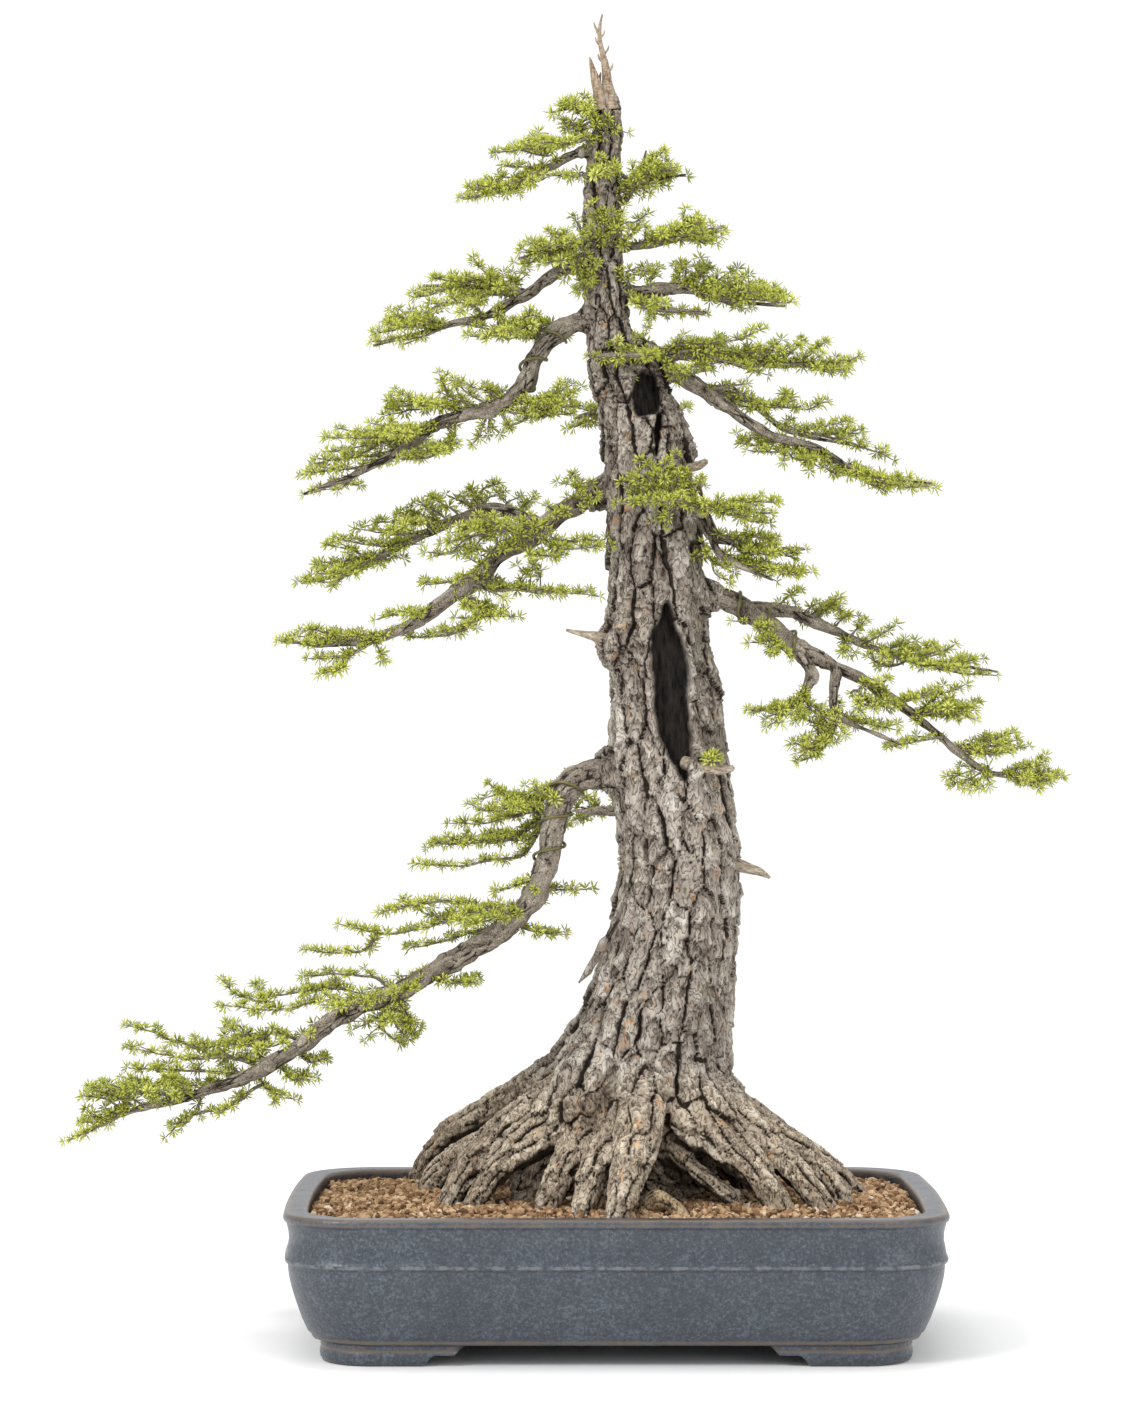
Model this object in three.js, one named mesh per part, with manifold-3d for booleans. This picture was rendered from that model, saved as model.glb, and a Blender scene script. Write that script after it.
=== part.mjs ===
// A larch bonsai in a shallow glazed pot: pot, soil, drainage fittings, trunk, branches and foliage.
// Millimetres, +Z up. X runs to the right and Y to the back. The origin is under the middle of the
// whole object, on the surface that the pot stands on.
import * as THREE from 'three';
import { mergeVertices } from 'three/addons/utils/BufferGeometryUtils.js';
import Module from 'manifold-3d';

const wasm = await Module();
wasm.setup();

// ---- Pot ----
const POT_WIDTH = 462;
const POT_DEPTH = 322;
const POT_HEIGHT = 105;
const CORNER_RADIUS = 48;
const END_BOW = 6;
const RIM_WIDTH = 16.5;
const RIM_HEIGHT = 6;
const WALL = 12;
const WALL_LEAN = 19.5;
const BAND_HEIGHT = 8;
const BAND_DROP = 29;
const FLOOR = 10;
const FOOT_HEIGHT = 15;
const FOOT_LENGTH = 76;
const FOOT_STEP_LENGTH = 26;
const FOOT_THICKNESS = 22;
const FOOT_INSET = 22;
const DRAIN_RADIUS = 13;
const DRAIN_SPACING = 220;

// ---- Soil and what is under it ----
const SOIL_DROP = 8;
const SOIL_MOUND = 4;
const ROOT_CROWN_DEPTH = 14;
const SCREEN_SIZE = 44;
const SCREEN_THICKNESS = 1.6;
const CLIP_WIRE = 1.6;
const CLIP_SPAN = 16;
const CLIP_FOOT = 10;
const TIE_WIRE = 2;

// ---- Tree ----
const TREE_HEIGHT = 864;
const TRUNK_THICKNESS = 1;
const BRANCH_THICKNESS = 1;
const FOLIAGE_DEPTH = 1;
const TRAINING_WIRE = 2.4;
const WIRE_PITCH = 24;

const GAP = 0.3;
const CLEARANCE = 0.4;

// Sizes that the chosen points below were drawn for.
const DRAWN = { height: 864, potWidth: 462, potDepth: 322 };

const WALL_BASE = FOOT_HEIGHT;
const SOIL_EDGE_LEVEL = POT_HEIGHT - SOIL_DROP;
const SOIL_LEVEL = SOIL_EDGE_LEVEL + SOIL_MOUND;
const FLOOR_LEVEL = WALL_BASE + FLOOR;
const SCREEN_LEVEL = FLOOR_LEVEL + GAP;

const FINISHES = {
  glaze: { color: 0x5a5f65, roughness: 0.32, metalness: 0 },
  soil: { color: 0x927456, roughness: 0.95, metalness: 0 },
  bark: { color: 0x897f75, roughness: 0.92, metalness: 0 },
  root: { color: 0xa19480, roughness: 0.85, metalness: 0 },
  twigBark: { color: 0x75604a, roughness: 0.88, metalness: 0 },
  deadwood: { color: 0xada699, roughness: 0.8, metalness: 0 },
  needles: { color: 0xafb655, roughness: 0.7, metalness: 0 },
  plasticMesh: { color: 0x24262a, roughness: 0.6, metalness: 0 },
  aluminium: { color: 0x6e6a5c, roughness: 0.45, metalness: 0.7 },
};

// ---------------------------------------------------------------- solids

// A closed three.js geometry as a solid that can be joined and cut.
function toSolid(geometry) {
  const bare = geometry.index ? geometry.toNonIndexed() : geometry.clone();
  bare.deleteAttribute('normal');
  bare.deleteAttribute('uv');
  const merged = mergeVertices(bare, 1e-4);
  const corners = merged.index.array;
  const kept = [];
  for (let i = 0; i < corners.length; i += 3) {
    const [a, b, c] = corners.slice(i, i + 3);
    if (a !== b && b !== c && c !== a) kept.push(a, b, c);
  }
  return new wasm.Manifold(new wasm.Mesh({
    numProp: 3,
    vertProperties: new Float32Array(merged.attributes.position.array),
    triVerts: new Uint32Array(kept),
  }));
}

function toGeometry(solid) {
  const mesh = solid.getMesh();
  const geometry = new THREE.BufferGeometry();
  geometry.setAttribute('position', new THREE.BufferAttribute(new Float32Array(mesh.vertProperties), 3));
  geometry.setIndex(new THREE.BufferAttribute(new Uint32Array(mesh.triVerts), 1));
  geometry.computeVertexNormals();
  return geometry;
}

const joined = (solids) => solids.reduce((whole, solid) => whole.add(solid));

// What is left of a solid when room is made for others. Only its largest piece stays.
function clearOf(solid, others) {
  const rest = others.reduce((whole, other) => whole.subtract(other), solid);
  const pieces = rest.decompose();
  return pieces.reduce((largest, piece) => (piece.volume() > largest.volume() ? piece : largest));
}

// Straight-line reading of a value between evenly numbered stations, at a place from 0 to 1.
function between(values, place) {
  const station = THREE.MathUtils.clamp(place, 0, 1) * (values.length - 1);
  const low = Math.min(Math.floor(station), values.length - 2);
  return THREE.MathUtils.lerp(values[low], values[low + 1], station - low);
}

function pathThrough(points) {
  const corners = points.map(([x, y, z]) => new THREE.Vector3(x, y, z));
  return new THREE.CatmullRomCurve3(corners, false, 'centripetal');
}

// A round limb along a route of [x, y, z, radius], thickened all over by widen.
function limb(route, { sides = 7, steps = route.length * 2, widen = 0 } = {}) {
  const path = pathThrough(route);
  const radii = route.map((point) => point[3]);
  const frames = path.computeFrenetFrames(steps, false);
  const geometry = new THREE.CylinderGeometry(1, 1, 1, sides, steps);
  const spots = geometry.attributes.position;
  const spot = new THREE.Vector3();
  for (let i = 0; i < spots.count; i += 1) {
    const across = spots.getX(i);
    const along = spots.getY(i) + 0.5;
    const over = spots.getZ(i);
    const station = Math.round(along * steps);
    const radius = between(radii, path.getUtoTmapping(along)) + widen;
    spot.copy(path.getPointAt(along));
    spot.addScaledVector(frames.normals[station], across * radius);
    spot.addScaledVector(frames.binormals[station], -over * radius);
    if (station === 0) spot.addScaledVector(frames.tangents[0], -widen);
    if (station === steps) spot.addScaledVector(frames.tangents[steps], widen);
    spots.setXYZ(i, spot.x, spot.y, spot.z);
  }
  return toSolid(geometry);
}

// A wire of even thickness along a path.
function wireAlong(path, thickness, steps, sides = 4) {
  const section = new THREE.Shape();
  section.absarc(0, 0, thickness / 2, 0, Math.PI * 2);
  return toSolid(new THREE.ExtrudeGeometry(section, {
    extrudePath: path,
    steps,
    curveSegments: sides / 2,
    bevelEnabled: false,
  }));
}

// A soft flat pad of foliage: a ball drawn out along a spine, wide across it and shallow upwards.
function pad(spine, width, thickness, widen = 0) {
  const [sides, rings] = [7, 5];
  const path = pathThrough(spine);
  const geometry = new THREE.SphereGeometry(1, sides, rings);
  const spots = geometry.attributes.position;
  const up = new THREE.Vector3(0, 0, 1);
  const spot = new THREE.Vector3();
  const reach = path.getLength();
  for (let i = 0; i < spots.count; i += 1) {
    const pole = spots.getY(i);
    const fullness = Math.sqrt(Math.max(0, 1 - pole * pole)) ** 0.3;
    const along = (1 - pole) / 2;
    const tangent = path.getTangentAt(along);
    const side = new THREE.Vector3().crossVectors(tangent, up).normalize();
    const rise = new THREE.Vector3().crossVectors(side, tangent);
    spot.copy(path.getPointAt(along));
    spot.addScaledVector(tangent, -pole * (widen + reach * 0.01));
    spot.addScaledVector(side, spots.getX(i) * fullness * (width / 2 + widen));
    spot.addScaledVector(rise, -spots.getZ(i) * fullness * (thickness / 2 + widen));
    spots.setXYZ(i, spot.x, spot.y, spot.z);
  }
  return toSolid(geometry);
}

// ---------------------------------------------------------------- pot

function roundedRectangle(width, depth, radius) {
  const [right, back] = [width / 2, depth / 2];
  const shape = new THREE.Shape();
  shape.moveTo(right - radius, -back);
  shape.absarc(right - radius, -back + radius, radius, -Math.PI / 2, 0);
  shape.lineTo(right, 0);
  shape.absarc(right - radius, back - radius, radius, 0, Math.PI / 2);
  shape.absarc(-right + radius, back - radius, radius, Math.PI / 2, Math.PI);
  shape.lineTo(-right, 0);
  shape.absarc(-right + radius, -back + radius, radius, Math.PI, Math.PI * 1.5);
  return shape;
}

// A soft-cornered block whose walls follow a list of [height, inset], from the bottom up. Its two
// ends bow outwards.
function layered(width, depth, radius, profile) {
  const steps = profile.length - 1;
  const geometry = new THREE.ExtrudeGeometry(roundedRectangle(width, depth, radius), {
    depth: steps,
    steps,
    curveSegments: 4,
    bevelEnabled: false,
  });
  const spots = geometry.attributes.position;
  for (let i = 0; i < spots.count; i += 1) {
    const [height, inset] = profile[Math.round(spots.getZ(i))];
    const bow = (2 * END_BOW / width) * (1 - ((2 * spots.getY(i)) / depth) ** 2);
    const x = spots.getX(i) * (1 - (2 * inset) / width) * (1 + bow);
    const y = spots.getY(i) * (1 - (2 * inset) / depth);
    spots.setXYZ(i, x, y, height);
  }
  return toSolid(geometry);
}

const BAND_TOP = POT_HEIGHT - BAND_DROP + BAND_HEIGHT;
const INSIDE_BASE_INSET = WALL_LEAN + WALL;
const INSIDE_NECK = POT_HEIGHT - RIM_HEIGHT * 2;
const INSIDE_NECK_INSET = WALL + 3;
const INSIDE_BASE_RADIUS = 12;

const POT_OUTSIDE = [
  [WALL_BASE, WALL_LEAN],
  [WALL_BASE + 0.35 * (BAND_TOP - WALL_BASE), WALL_LEAN * 0.45],
  [WALL_BASE + 0.6 * (BAND_TOP - WALL_BASE), WALL_LEAN * 0.22],
  [BAND_TOP - BAND_HEIGHT - 1, 3],
  [BAND_TOP - BAND_HEIGHT + 1, 1.8],
  [BAND_TOP - 3, 1.8],
  [BAND_TOP + 2, 4],
  [POT_HEIGHT - RIM_HEIGHT - 2, 3.2],
  [POT_HEIGHT - RIM_HEIGHT + 1, 0.6],
  [POT_HEIGHT - 2, 0],
  [POT_HEIGHT, 1.6],
];

// How far the wall's inside stands in from the rim's edge at a level.
function insideInset(level) {
  if (level > INSIDE_NECK) {
    return THREE.MathUtils.mapLinear(level, INSIDE_NECK, POT_HEIGHT, INSIDE_NECK_INSET, RIM_WIDTH);
  }
  return THREE.MathUtils.mapLinear(level, FLOOR_LEVEL, INSIDE_NECK, INSIDE_BASE_INSET, INSIDE_NECK_INSET);
}

// The wall's inside, from the floor up to a level. room is the play kept to it all round.
function insideProfile(room, topLevel) {
  const low = FLOOR_LEVEL + INSIDE_BASE_RADIUS;
  return [
    [FLOOR_LEVEL + room, INSIDE_BASE_INSET + INSIDE_BASE_RADIUS / 2 + room],
    ...[low, INSIDE_NECK, topLevel].map((level) => [level, insideInset(level) + room]),
  ];
}

function cornerFeet(length, bottom, top) {
  const outer = roundedRectangle(
    POT_WIDTH - 2 * FOOT_INSET, POT_DEPTH - 2 * FOOT_INSET, CORNER_RADIUS - FOOT_INSET / 2);
  const innerInset = FOOT_INSET + FOOT_THICKNESS;
  outer.holes.push(roundedRectangle(
    POT_WIDTH - 2 * innerInset, POT_DEPTH - 2 * innerInset, CORNER_RADIUS - innerInset / 2));
  const ring = new THREE.ExtrudeGeometry(outer, {
    depth: top - bottom,
    curveSegments: 3,
    bevelEnabled: false,
  });
  ring.translate(0, 0, bottom);
  const corners = [[-1, -1], [1, -1], [1, 1], [-1, 1]].map(([right, back]) => {
    const block = new THREE.BoxGeometry(length, length, top * 4);
    block.translate(
      right * (POT_WIDTH / 2 - FOOT_INSET - length / 2),
      back * (POT_DEPTH / 2 - FOOT_INSET - length / 2), 0);
    return toSolid(block);
  });
  return toSolid(ring).intersect(joined(corners));
}

function makePot() {
  const body = layered(POT_WIDTH, POT_DEPTH, CORNER_RADIUS, POT_OUTSIDE);
  const inside = layered(POT_WIDTH, POT_DEPTH, CORNER_RADIUS, insideProfile(0, POT_HEIGHT + 1));
  const overlap = 1;
  const feet = cornerFeet(FOOT_LENGTH, 0, WALL_BASE + overlap);
  const steps = cornerFeet(FOOT_LENGTH + FOOT_STEP_LENGTH, FOOT_HEIGHT / 2, WALL_BASE + overlap);
  const drains = [-1, 1].map((side) => {
    const drain = new THREE.CylinderGeometry(DRAIN_RADIUS, DRAIN_RADIUS, FLOOR * 3, 12);
    drain.rotateX(Math.PI / 2);
    drain.translate(side * DRAIN_SPACING / 2, 0, WALL_BASE + FLOOR / 2);
    return toSolid(drain);
  });
  return clearOf(body.subtract(inside).add(feet).add(steps), drains);
}

// ---------------------------------------------------------------- drainage fittings

// A bent wire staple: over the screen, down through the drain and out under the floor.
function clipPath(side) {
  const middle = side * DRAIN_SPACING / 2;
  const over = SCREEN_LEVEL + SCREEN_THICKNESS + GAP + CLIP_WIRE / 2;
  const under = WALL_BASE - GAP - CLIP_WIRE / 2;
  const half = CLIP_SPAN / 2;
  return new THREE.CatmullRomCurve3([
    new THREE.Vector3(middle - half - CLIP_FOOT, 0, under - 1),
    new THREE.Vector3(middle - half - 1, 0, under),
    new THREE.Vector3(middle - half, 0, under + 3),
    new THREE.Vector3(middle - half, 0, over - 2),
    new THREE.Vector3(middle - half + 2, 0, over),
    new THREE.Vector3(middle + half - 2, 0, over),
    new THREE.Vector3(middle + half, 0, over - 2),
    new THREE.Vector3(middle + half, 0, under + 3),
    new THREE.Vector3(middle + half + 1, 0, under),
    new THREE.Vector3(middle + half + CLIP_FOOT, 0, under - 1),
  ], false, 'centripetal');
}

function makeScreen(side, cutters) {
  const plate = new THREE.BoxGeometry(SCREEN_SIZE, SCREEN_SIZE, SCREEN_THICKNESS);
  plate.translate(side * DRAIN_SPACING / 2, 0, SCREEN_LEVEL + SCREEN_THICKNESS / 2);
  return clearOf(toSolid(plate), cutters);
}

// The wire that holds the root mass down: up one drain, behind the trunk under the soil, down the other.
function tiePath() {
  const half = DRAIN_SPACING / 2;
  const offset = DRAIN_RADIUS * 0.55;
  const under = WALL_BASE - GAP - TIE_WIRE / 2;
  const crown = SOIL_LEVEL - ROOT_CROWN_DEPTH - TIE_WIRE * 4;
  const back = POT_DEPTH * 0.2;
  return new THREE.CatmullRomCurve3([
    new THREE.Vector3(-half - DRAIN_RADIUS - 5, offset, under - 1),
    new THREE.Vector3(-half - 1, offset, under),
    new THREE.Vector3(-half, offset, under + 4),
    new THREE.Vector3(-half, offset, FLOOR_LEVEL + 8),
    new THREE.Vector3(-half * 0.6, back * 0.7, crown - 6),
    new THREE.Vector3(0, back, crown),
    new THREE.Vector3(half * 0.6, back * 0.7, crown - 6),
    new THREE.Vector3(half, offset, FLOOR_LEVEL + 8),
    new THREE.Vector3(half, offset, under + 4),
    new THREE.Vector3(half + 1, offset, under),
    new THREE.Vector3(half + DRAIN_RADIUS + 5, offset, under - 1),
  ], false, 'centripetal');
}

// ---------------------------------------------------------------- tree

const GROWTH = TREE_HEIGHT / DRAWN.height;
const ROOT_REACH = [POT_WIDTH / DRAWN.potWidth, POT_DEPTH / DRAWN.potDepth];

// Chosen points are measured from the middle of the pot and from the soil upwards.
const placed = ([x, y, z, ...rest]) => [x * GROWTH, y * GROWTH, z * GROWTH + SOIL_LEVEL, ...rest];
const placedRoot = ([x, y, z, ...rest]) => [
  x * ROOT_REACH[0], y * ROOT_REACH[1], z * GROWTH + SOIL_LEVEL, ...rest];
const branchRoute = (points) => points.map(placed).map(
  ([x, y, z, radius]) => [x, y, z, radius * BRANCH_THICKNESS * GROWTH]);

// The trunk's rings from the soil to the broken top: middle, height, half width and half depth.
const TRUNK_RINGS = [
  [25, 6, -14, 58, 52], [25, 6, 0, 70, 61], [23, 6, 35, 70, 59], [23, 4, 90, 62, 55],
  [33, 2, 145, 54, 50], [45, -1, 196, 47, 45], [49, -3, 245, 44, 43], [40, -2, 310, 43, 41],
  [37, -1, 365, 40, 38], [30, 0, 400, 37, 36], [31, 0, 430, 36, 35], [27, 0, 495, 34, 33],
  [23, 0, 550, 33, 31],
  [15, 0, 584, 31, 27], [5, 0, 608, 24, 21], [-4, 1, 632, 17, 17], [-9, 2, 680, 15, 15],
  [-9, 0, 735, 14, 14], [-5, 0, 775, 11, 10], [-3, 0, 796, 10, 9], [-6, 0, 808, 6, 5],
];

// The two bare splinters that end the trunk.
const DEAD_TOP = [
  [[-2, 0, 798, 5], [-5, 0, 817, 3.6], [-8, 0, 836, 2.4], [-11, 0, 853, 1.7], [-9, 0, 864, 0.9]],
  [[-8, -2, 798, 5], [-13, -3, 815, 3.6], [-16, -3, 825, 2.2], [-18, -3, 832, 1]],
];

// Surface roots, from inside the trunk's foot out to where they dive into the soil.
const ROOTS = [
  [[5, 13, 130, 23], [-48, 45, 84, 16], [-86, 74, 58, 13], [-122, 96, 36, 11], [-143, 110, 10, 9],
    [-152, 118, -10, 7]],
  [[0, 14, 70, 22], [-60, 32, 45, 17], [-98, 46, 28, 14], [-121, 55, 10, 11], [-134, 60, -10, 8]],
  [[5, 2, 121, 26], [-47, -6, 68, 20], [-80, -14, 48, 15], [-105, -24, 24, 12], [-126, -38, -10, 7]],
  [[-11, -9, 94, 24], [-42, -24, 60, 20], [-72, -34, 38, 14], [-92, -42, 18, 10], [-108, -50, -10, 7]],
  [[3, -17, 78, 18], [-32, -46, 34, 13], [-45, -56, 13, 11], [-54, -62, -9, 8]],
  [[10, -20, 82, 18], [-9, -56, 38, 14], [-18, -72, 15, 12], [-26, -84, -9, 8]],
  [[21, -24, 100, 23], [15, -64, 54, 18], [7, -92, 24, 13], [-2, -120, -10, 8]],
  [[30, -20, 60, 13], [47, -36, 34, 8], [70, -42, 15, 7], [91, -42, 0, 6], [99, -42, -10, 5]],
  [[40, -15, 104, 23], [79, -42, 46, 18], [101, -54, 25, 13], [125, -68, -10, 8]],
  [[45, -4, 114, 21], [94, -24, 54, 15], [128, -42, 25, 11], [158, -66, -10, 7]],
  [[45, 7, 112, 19], [96, 6, 56, 14], [139, -2, 31, 11], [174, -20, -10, 7]],
  [[50, 18, 114, 18], [80, 30, 72, 15], [110, 39, 49, 12], [142, 46, 28, 10], [170, 50, 8, 8],
    [188, 52, -10, 6]],
  [[38, 29, 109, 19], [65, 84, 47, 13], [78, 108, 19, 10], [90, 128, -10, 7]],
  [[9, 29, 109, 19], [-17, 84, 47, 13], [-32, 108, 19, 10], [-50, 128, -10, 7]],
  [[24, 33, 104, 19], [27, 90, 42, 13], [29, 114, 15, 10], [30, 134, -10, 7]],
  [[4, 30, 80, 22], [-38, 50, 46, 20], [-60, 58, 16, 16], [-70, 62, -10, 12]],
  [[44, 30, 80, 20], [76, 46, 46, 17], [96, 52, 16, 14], [106, 55, -10, 10]],
  [[0, 0, 70, 24], [-40, -10, 38, 20], [-58, -16, 14, 15], [-66, -18, -10, 12]],
  [[0, -8, 120, 26], [-20, -28, 84, 25], [-34, -38, 62, 17]],
  [[28, -12, 96, 24], [48, -32, 64, 20], [68, -40, 46, 15]],
];

// Places where the bark and wood have rotted away into a hollow.
const HOLLOWS = [
  [[38, -42, 436, 2], [38, -42, 416, 9], [37, -43, 372, 11], [43, -44, 330, 8], [47, -45, 306, 2]],
  [[18, -30, 599, 2], [22, -32, 586, 8], [23, -33, 574, 6], [20, -34, 556, 2]],
];

const FRONT_ROOT = [[16, -74, -8, 5], [22, -77, 4, 6], [31, -82, 8, 6.5], [41, -86, 4, 6], [50, -91, -9, 5]];

const DEAD_STUBS = {
  jin_left: [
    [3, -8, 406, 6.6], [-8, -12, 407, 5.5], [-16, -16, 410, 3.6], [-25, -16, 412, 2.2], [-35, -17, 414, 1]],
  jin_right_upper: [[48, -6, 531, 4.6], [61, -8, 534, 3.4], [67, -9, 537, 2.4]],
  jin_right_collar: [[50, -32, 318, 5], [63, -42, 315, 4.4], [74, -44, 313, 3.8], [85, -44, 314, 2.4]],
  jin_right_low: [[78, -8, 248, 7], [97, -10, 241, 4], [106, -10, 238, 2.9], [113, -10, 234, 1.2]],
};

// Each branch is a main limb and its forks, from inside the trunk to the last twig.
const BRANCHES = {
  branch_left_low: [
    [[3, -4, 313, 11], [-22, -12, 308, 10.2], [-37, -21, 295, 9.8], [-44, -26, 272, 9], [-50, -30, 243, 8.7],
      [-61, -32, 218, 8.3], [-83, -33, 196, 8.3], [-119, -34, 174, 7.6], [-155, -34, 154, 6.9],
      [-199, -34, 134, 6.1], [-232, -32, 110, 5.8], [-270, -28, 89, 4.7], [-313, -22, 75, 3.6],
      [-353, -18, 64, 2.3], [-394, -14, 45, 1.2]],
  ],
  branch_left_mid: [
    [[0, 5, 519, 8.8], [-28, 10, 507, 7.7], [-58, 8, 484, 7], [-78, 4, 473, 6.6], [-107, -4, 447, 5.8],
      [-151, -6, 417, 4.4], [-169, -6, 410, 3.6], [-210, -4, 404, 2.2], [-243, -2, 406, 1.2]],
    [[-51, 10, 490, 5.9], [-71, 16, 499, 5.1], [-87, 20, 503, 4.8], [-134, 32, 488, 3.7],
      [-165, 36, 474, 3], [-194, 38, 458, 2.2], [-231, 40, 450, 1.2]],
  ],
  branch_left_upper: [
    [[-10, 4, 645, 8], [-30, 0, 637, 7.3], [-45, -6, 628, 7.3], [-58, -10, 613, 6.9], [-63, -12, 597, 6.7],
      [-78, -12, 581, 6.5], [-98, -12, 573, 5.8], [-129, -12, 564, 5.1], [-150, -12, 550, 4],
      [-175, -12, 534, 2.9], [-226, -12, 513, 1.1]],
  ],
  branch_left_crown: [
    [[-12, 4, 686, 5.9], [-40, 8, 678, 5.1], [-65, 8, 660, 4.4], [-101, 4, 642, 3.3], [-125, 2, 636, 2.3],
      [-176, 0, 622, 1]],
    [[-62, 8, 661, 3], [-75, 14, 665, 2.6], [-92, 22, 667, 2.2], [-141, 32, 669, 1]],
  ],
  branch_left_top: [
    [[-9, -8, 697, 3.3], [-24, -16, 694, 2.9], [-40, -20, 691, 2.3], [-70, -22, 683, 1]],
  ],
  branch_left_apex: [
    [[-9, 0, 767, 4.4], [-30, -6, 761, 3.6], [-49, -10, 750, 2.9], [-86, -10, 733, 1.6],
      [-110, -10, 728, 0.9]],
  ],
  branch_apex: [
    [[-6, -1, 787, 3.3], [-16, -2, 790, 2.9], [-24, -2, 795, 2.2], [-46, -2, 792, 0.9]],
  ],
  branch_right_low: [
    [[52, 4, 443, 9.1], [80, 0, 437, 8], [97, -4, 428, 7.7], [115, -8, 417, 7.3], [129, -10, 404, 6.9],
      [150, -10, 393, 5.5], [182, -10, 377, 4.4], [221, -10, 350, 3.3], [258, -10, 319, 2.5],
      [274, -10, 310, 1.9], [322, -10, 308, 1]],
    [[95, 0, 431, 5.1], [121, 8, 429, 4.8], [156, 18, 417, 3.7], [195, 22, 400, 2.5], [282, 26, 384, 1]],
    [[135, -10, 397, 5.1], [142, -22, 382, 4.7], [138, -30, 370, 4.3], [131, -34, 360, 2.9],
      [99, -38, 356, 1]],
    [[151, -10, 393, 4.4], [160, -14, 385, 4.4], [159, -20, 371, 3.6], [159, -24, 358, 3.3],
      [169, -26, 348, 2.3], [205, -28, 332, 1]],
  ],
  branch_right_mid: [
    [[50, -10, 503, 7.4], [63, -18, 498, 6.2], [72, -20, 483, 4.7], [96, -16, 475, 2.9], [138, -12, 473, 1]],
    [[70, -20, 484, 3.6], [73, -26, 472, 3.3], [90, -32, 460, 2.2], [114, -32, 450, 0.9]],
    [[64, -20, 498, 3.2], [57, -38, 505, 2.4], [34, -50, 507, 1.6], [3, -52, 504, 0.9]],
  ],
  branch_right_upper: [
    [[26, 4, 609, 8], [47, 2, 600, 6.6], [61, 0, 592, 5.5], [86, -3, 574, 4.5], [113, -5, 557, 3.6],
      [147, -6, 547, 2.9], [181, -6, 528, 2], [231, -6, 521, 0.9]],
    [[60, 1, 592, 4], [72, 8, 591, 3.4], [100, 18, 583, 2.9], [123, 22, 564, 2.1], [184, 26, 549, 1.3],
      [225, 28, 538, 0.9]],
  ],
  branch_right_top: [
    [[12, -4, 620, 6], [35, -12, 617, 4.7], [71, -12, 612, 3.6], [121, -12, 607, 2.6], [176, -12, 610, 0.9]],
    [[29, -10, 618, 3.2], [18, -30, 612, 2.2], [-2, -38, 612, 1.4], [-15, -38, 611, 0.9]],
  ],
  branch_right_crown: [
    [[-4, 2, 663, 6.2], [14, -2, 661, 5.5], [51, -8, 663, 3.6], [88, -8, 654, 2.3], [125, -8, 650, 0.9]],
    [[12, -2, 660, 3.2], [24, -16, 649, 2.3], [66, -26, 644, 0.9]],
  ],
  branch_right_crown_top: [
    [[-5, -5, 694, 4.4], [13, -14, 693, 3.6], [39, -20, 696, 2.5], [79, -20, 707, 0.9]],
  ],
  branch_right_apex: [
    [[-7, 2, 727, 3.7], [6, 0, 728, 3.3], [14, -4, 738, 2.9], [26, -6, 742, 1.9], [52, -8, 746, 0.9]],
    [[13, -4, 737, 2.2], [18, -4, 745, 1.9], [23, -4, 764, 0.8]],
  ],
  branch_back_low: [
    [[26, 26, 291, 7], [20, 50, 286, 5.6], [7, 66, 281, 4.5], [-10, 78, 280, 3], [-30, 90, 280, 1]],
    [[19, 51, 286, 4.5], [20, 80, 289, 3.8], [30, 104, 296, 2.6], [42, 124, 300, 1.5]],
  ],
  branch_back_mid: [
    [[24, 18, 563, 6.6], [20, 46, 569, 5.6], [14, 70, 574, 4.5], [21, 96, 577, 3], [32, 122, 579, 1.5]],
    [[15, 68, 574, 3.9], [-1, 88, 576, 3], [-17, 104, 579, 2.3], [-29, 116, 577, 1.2]],
  ],
};

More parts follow.
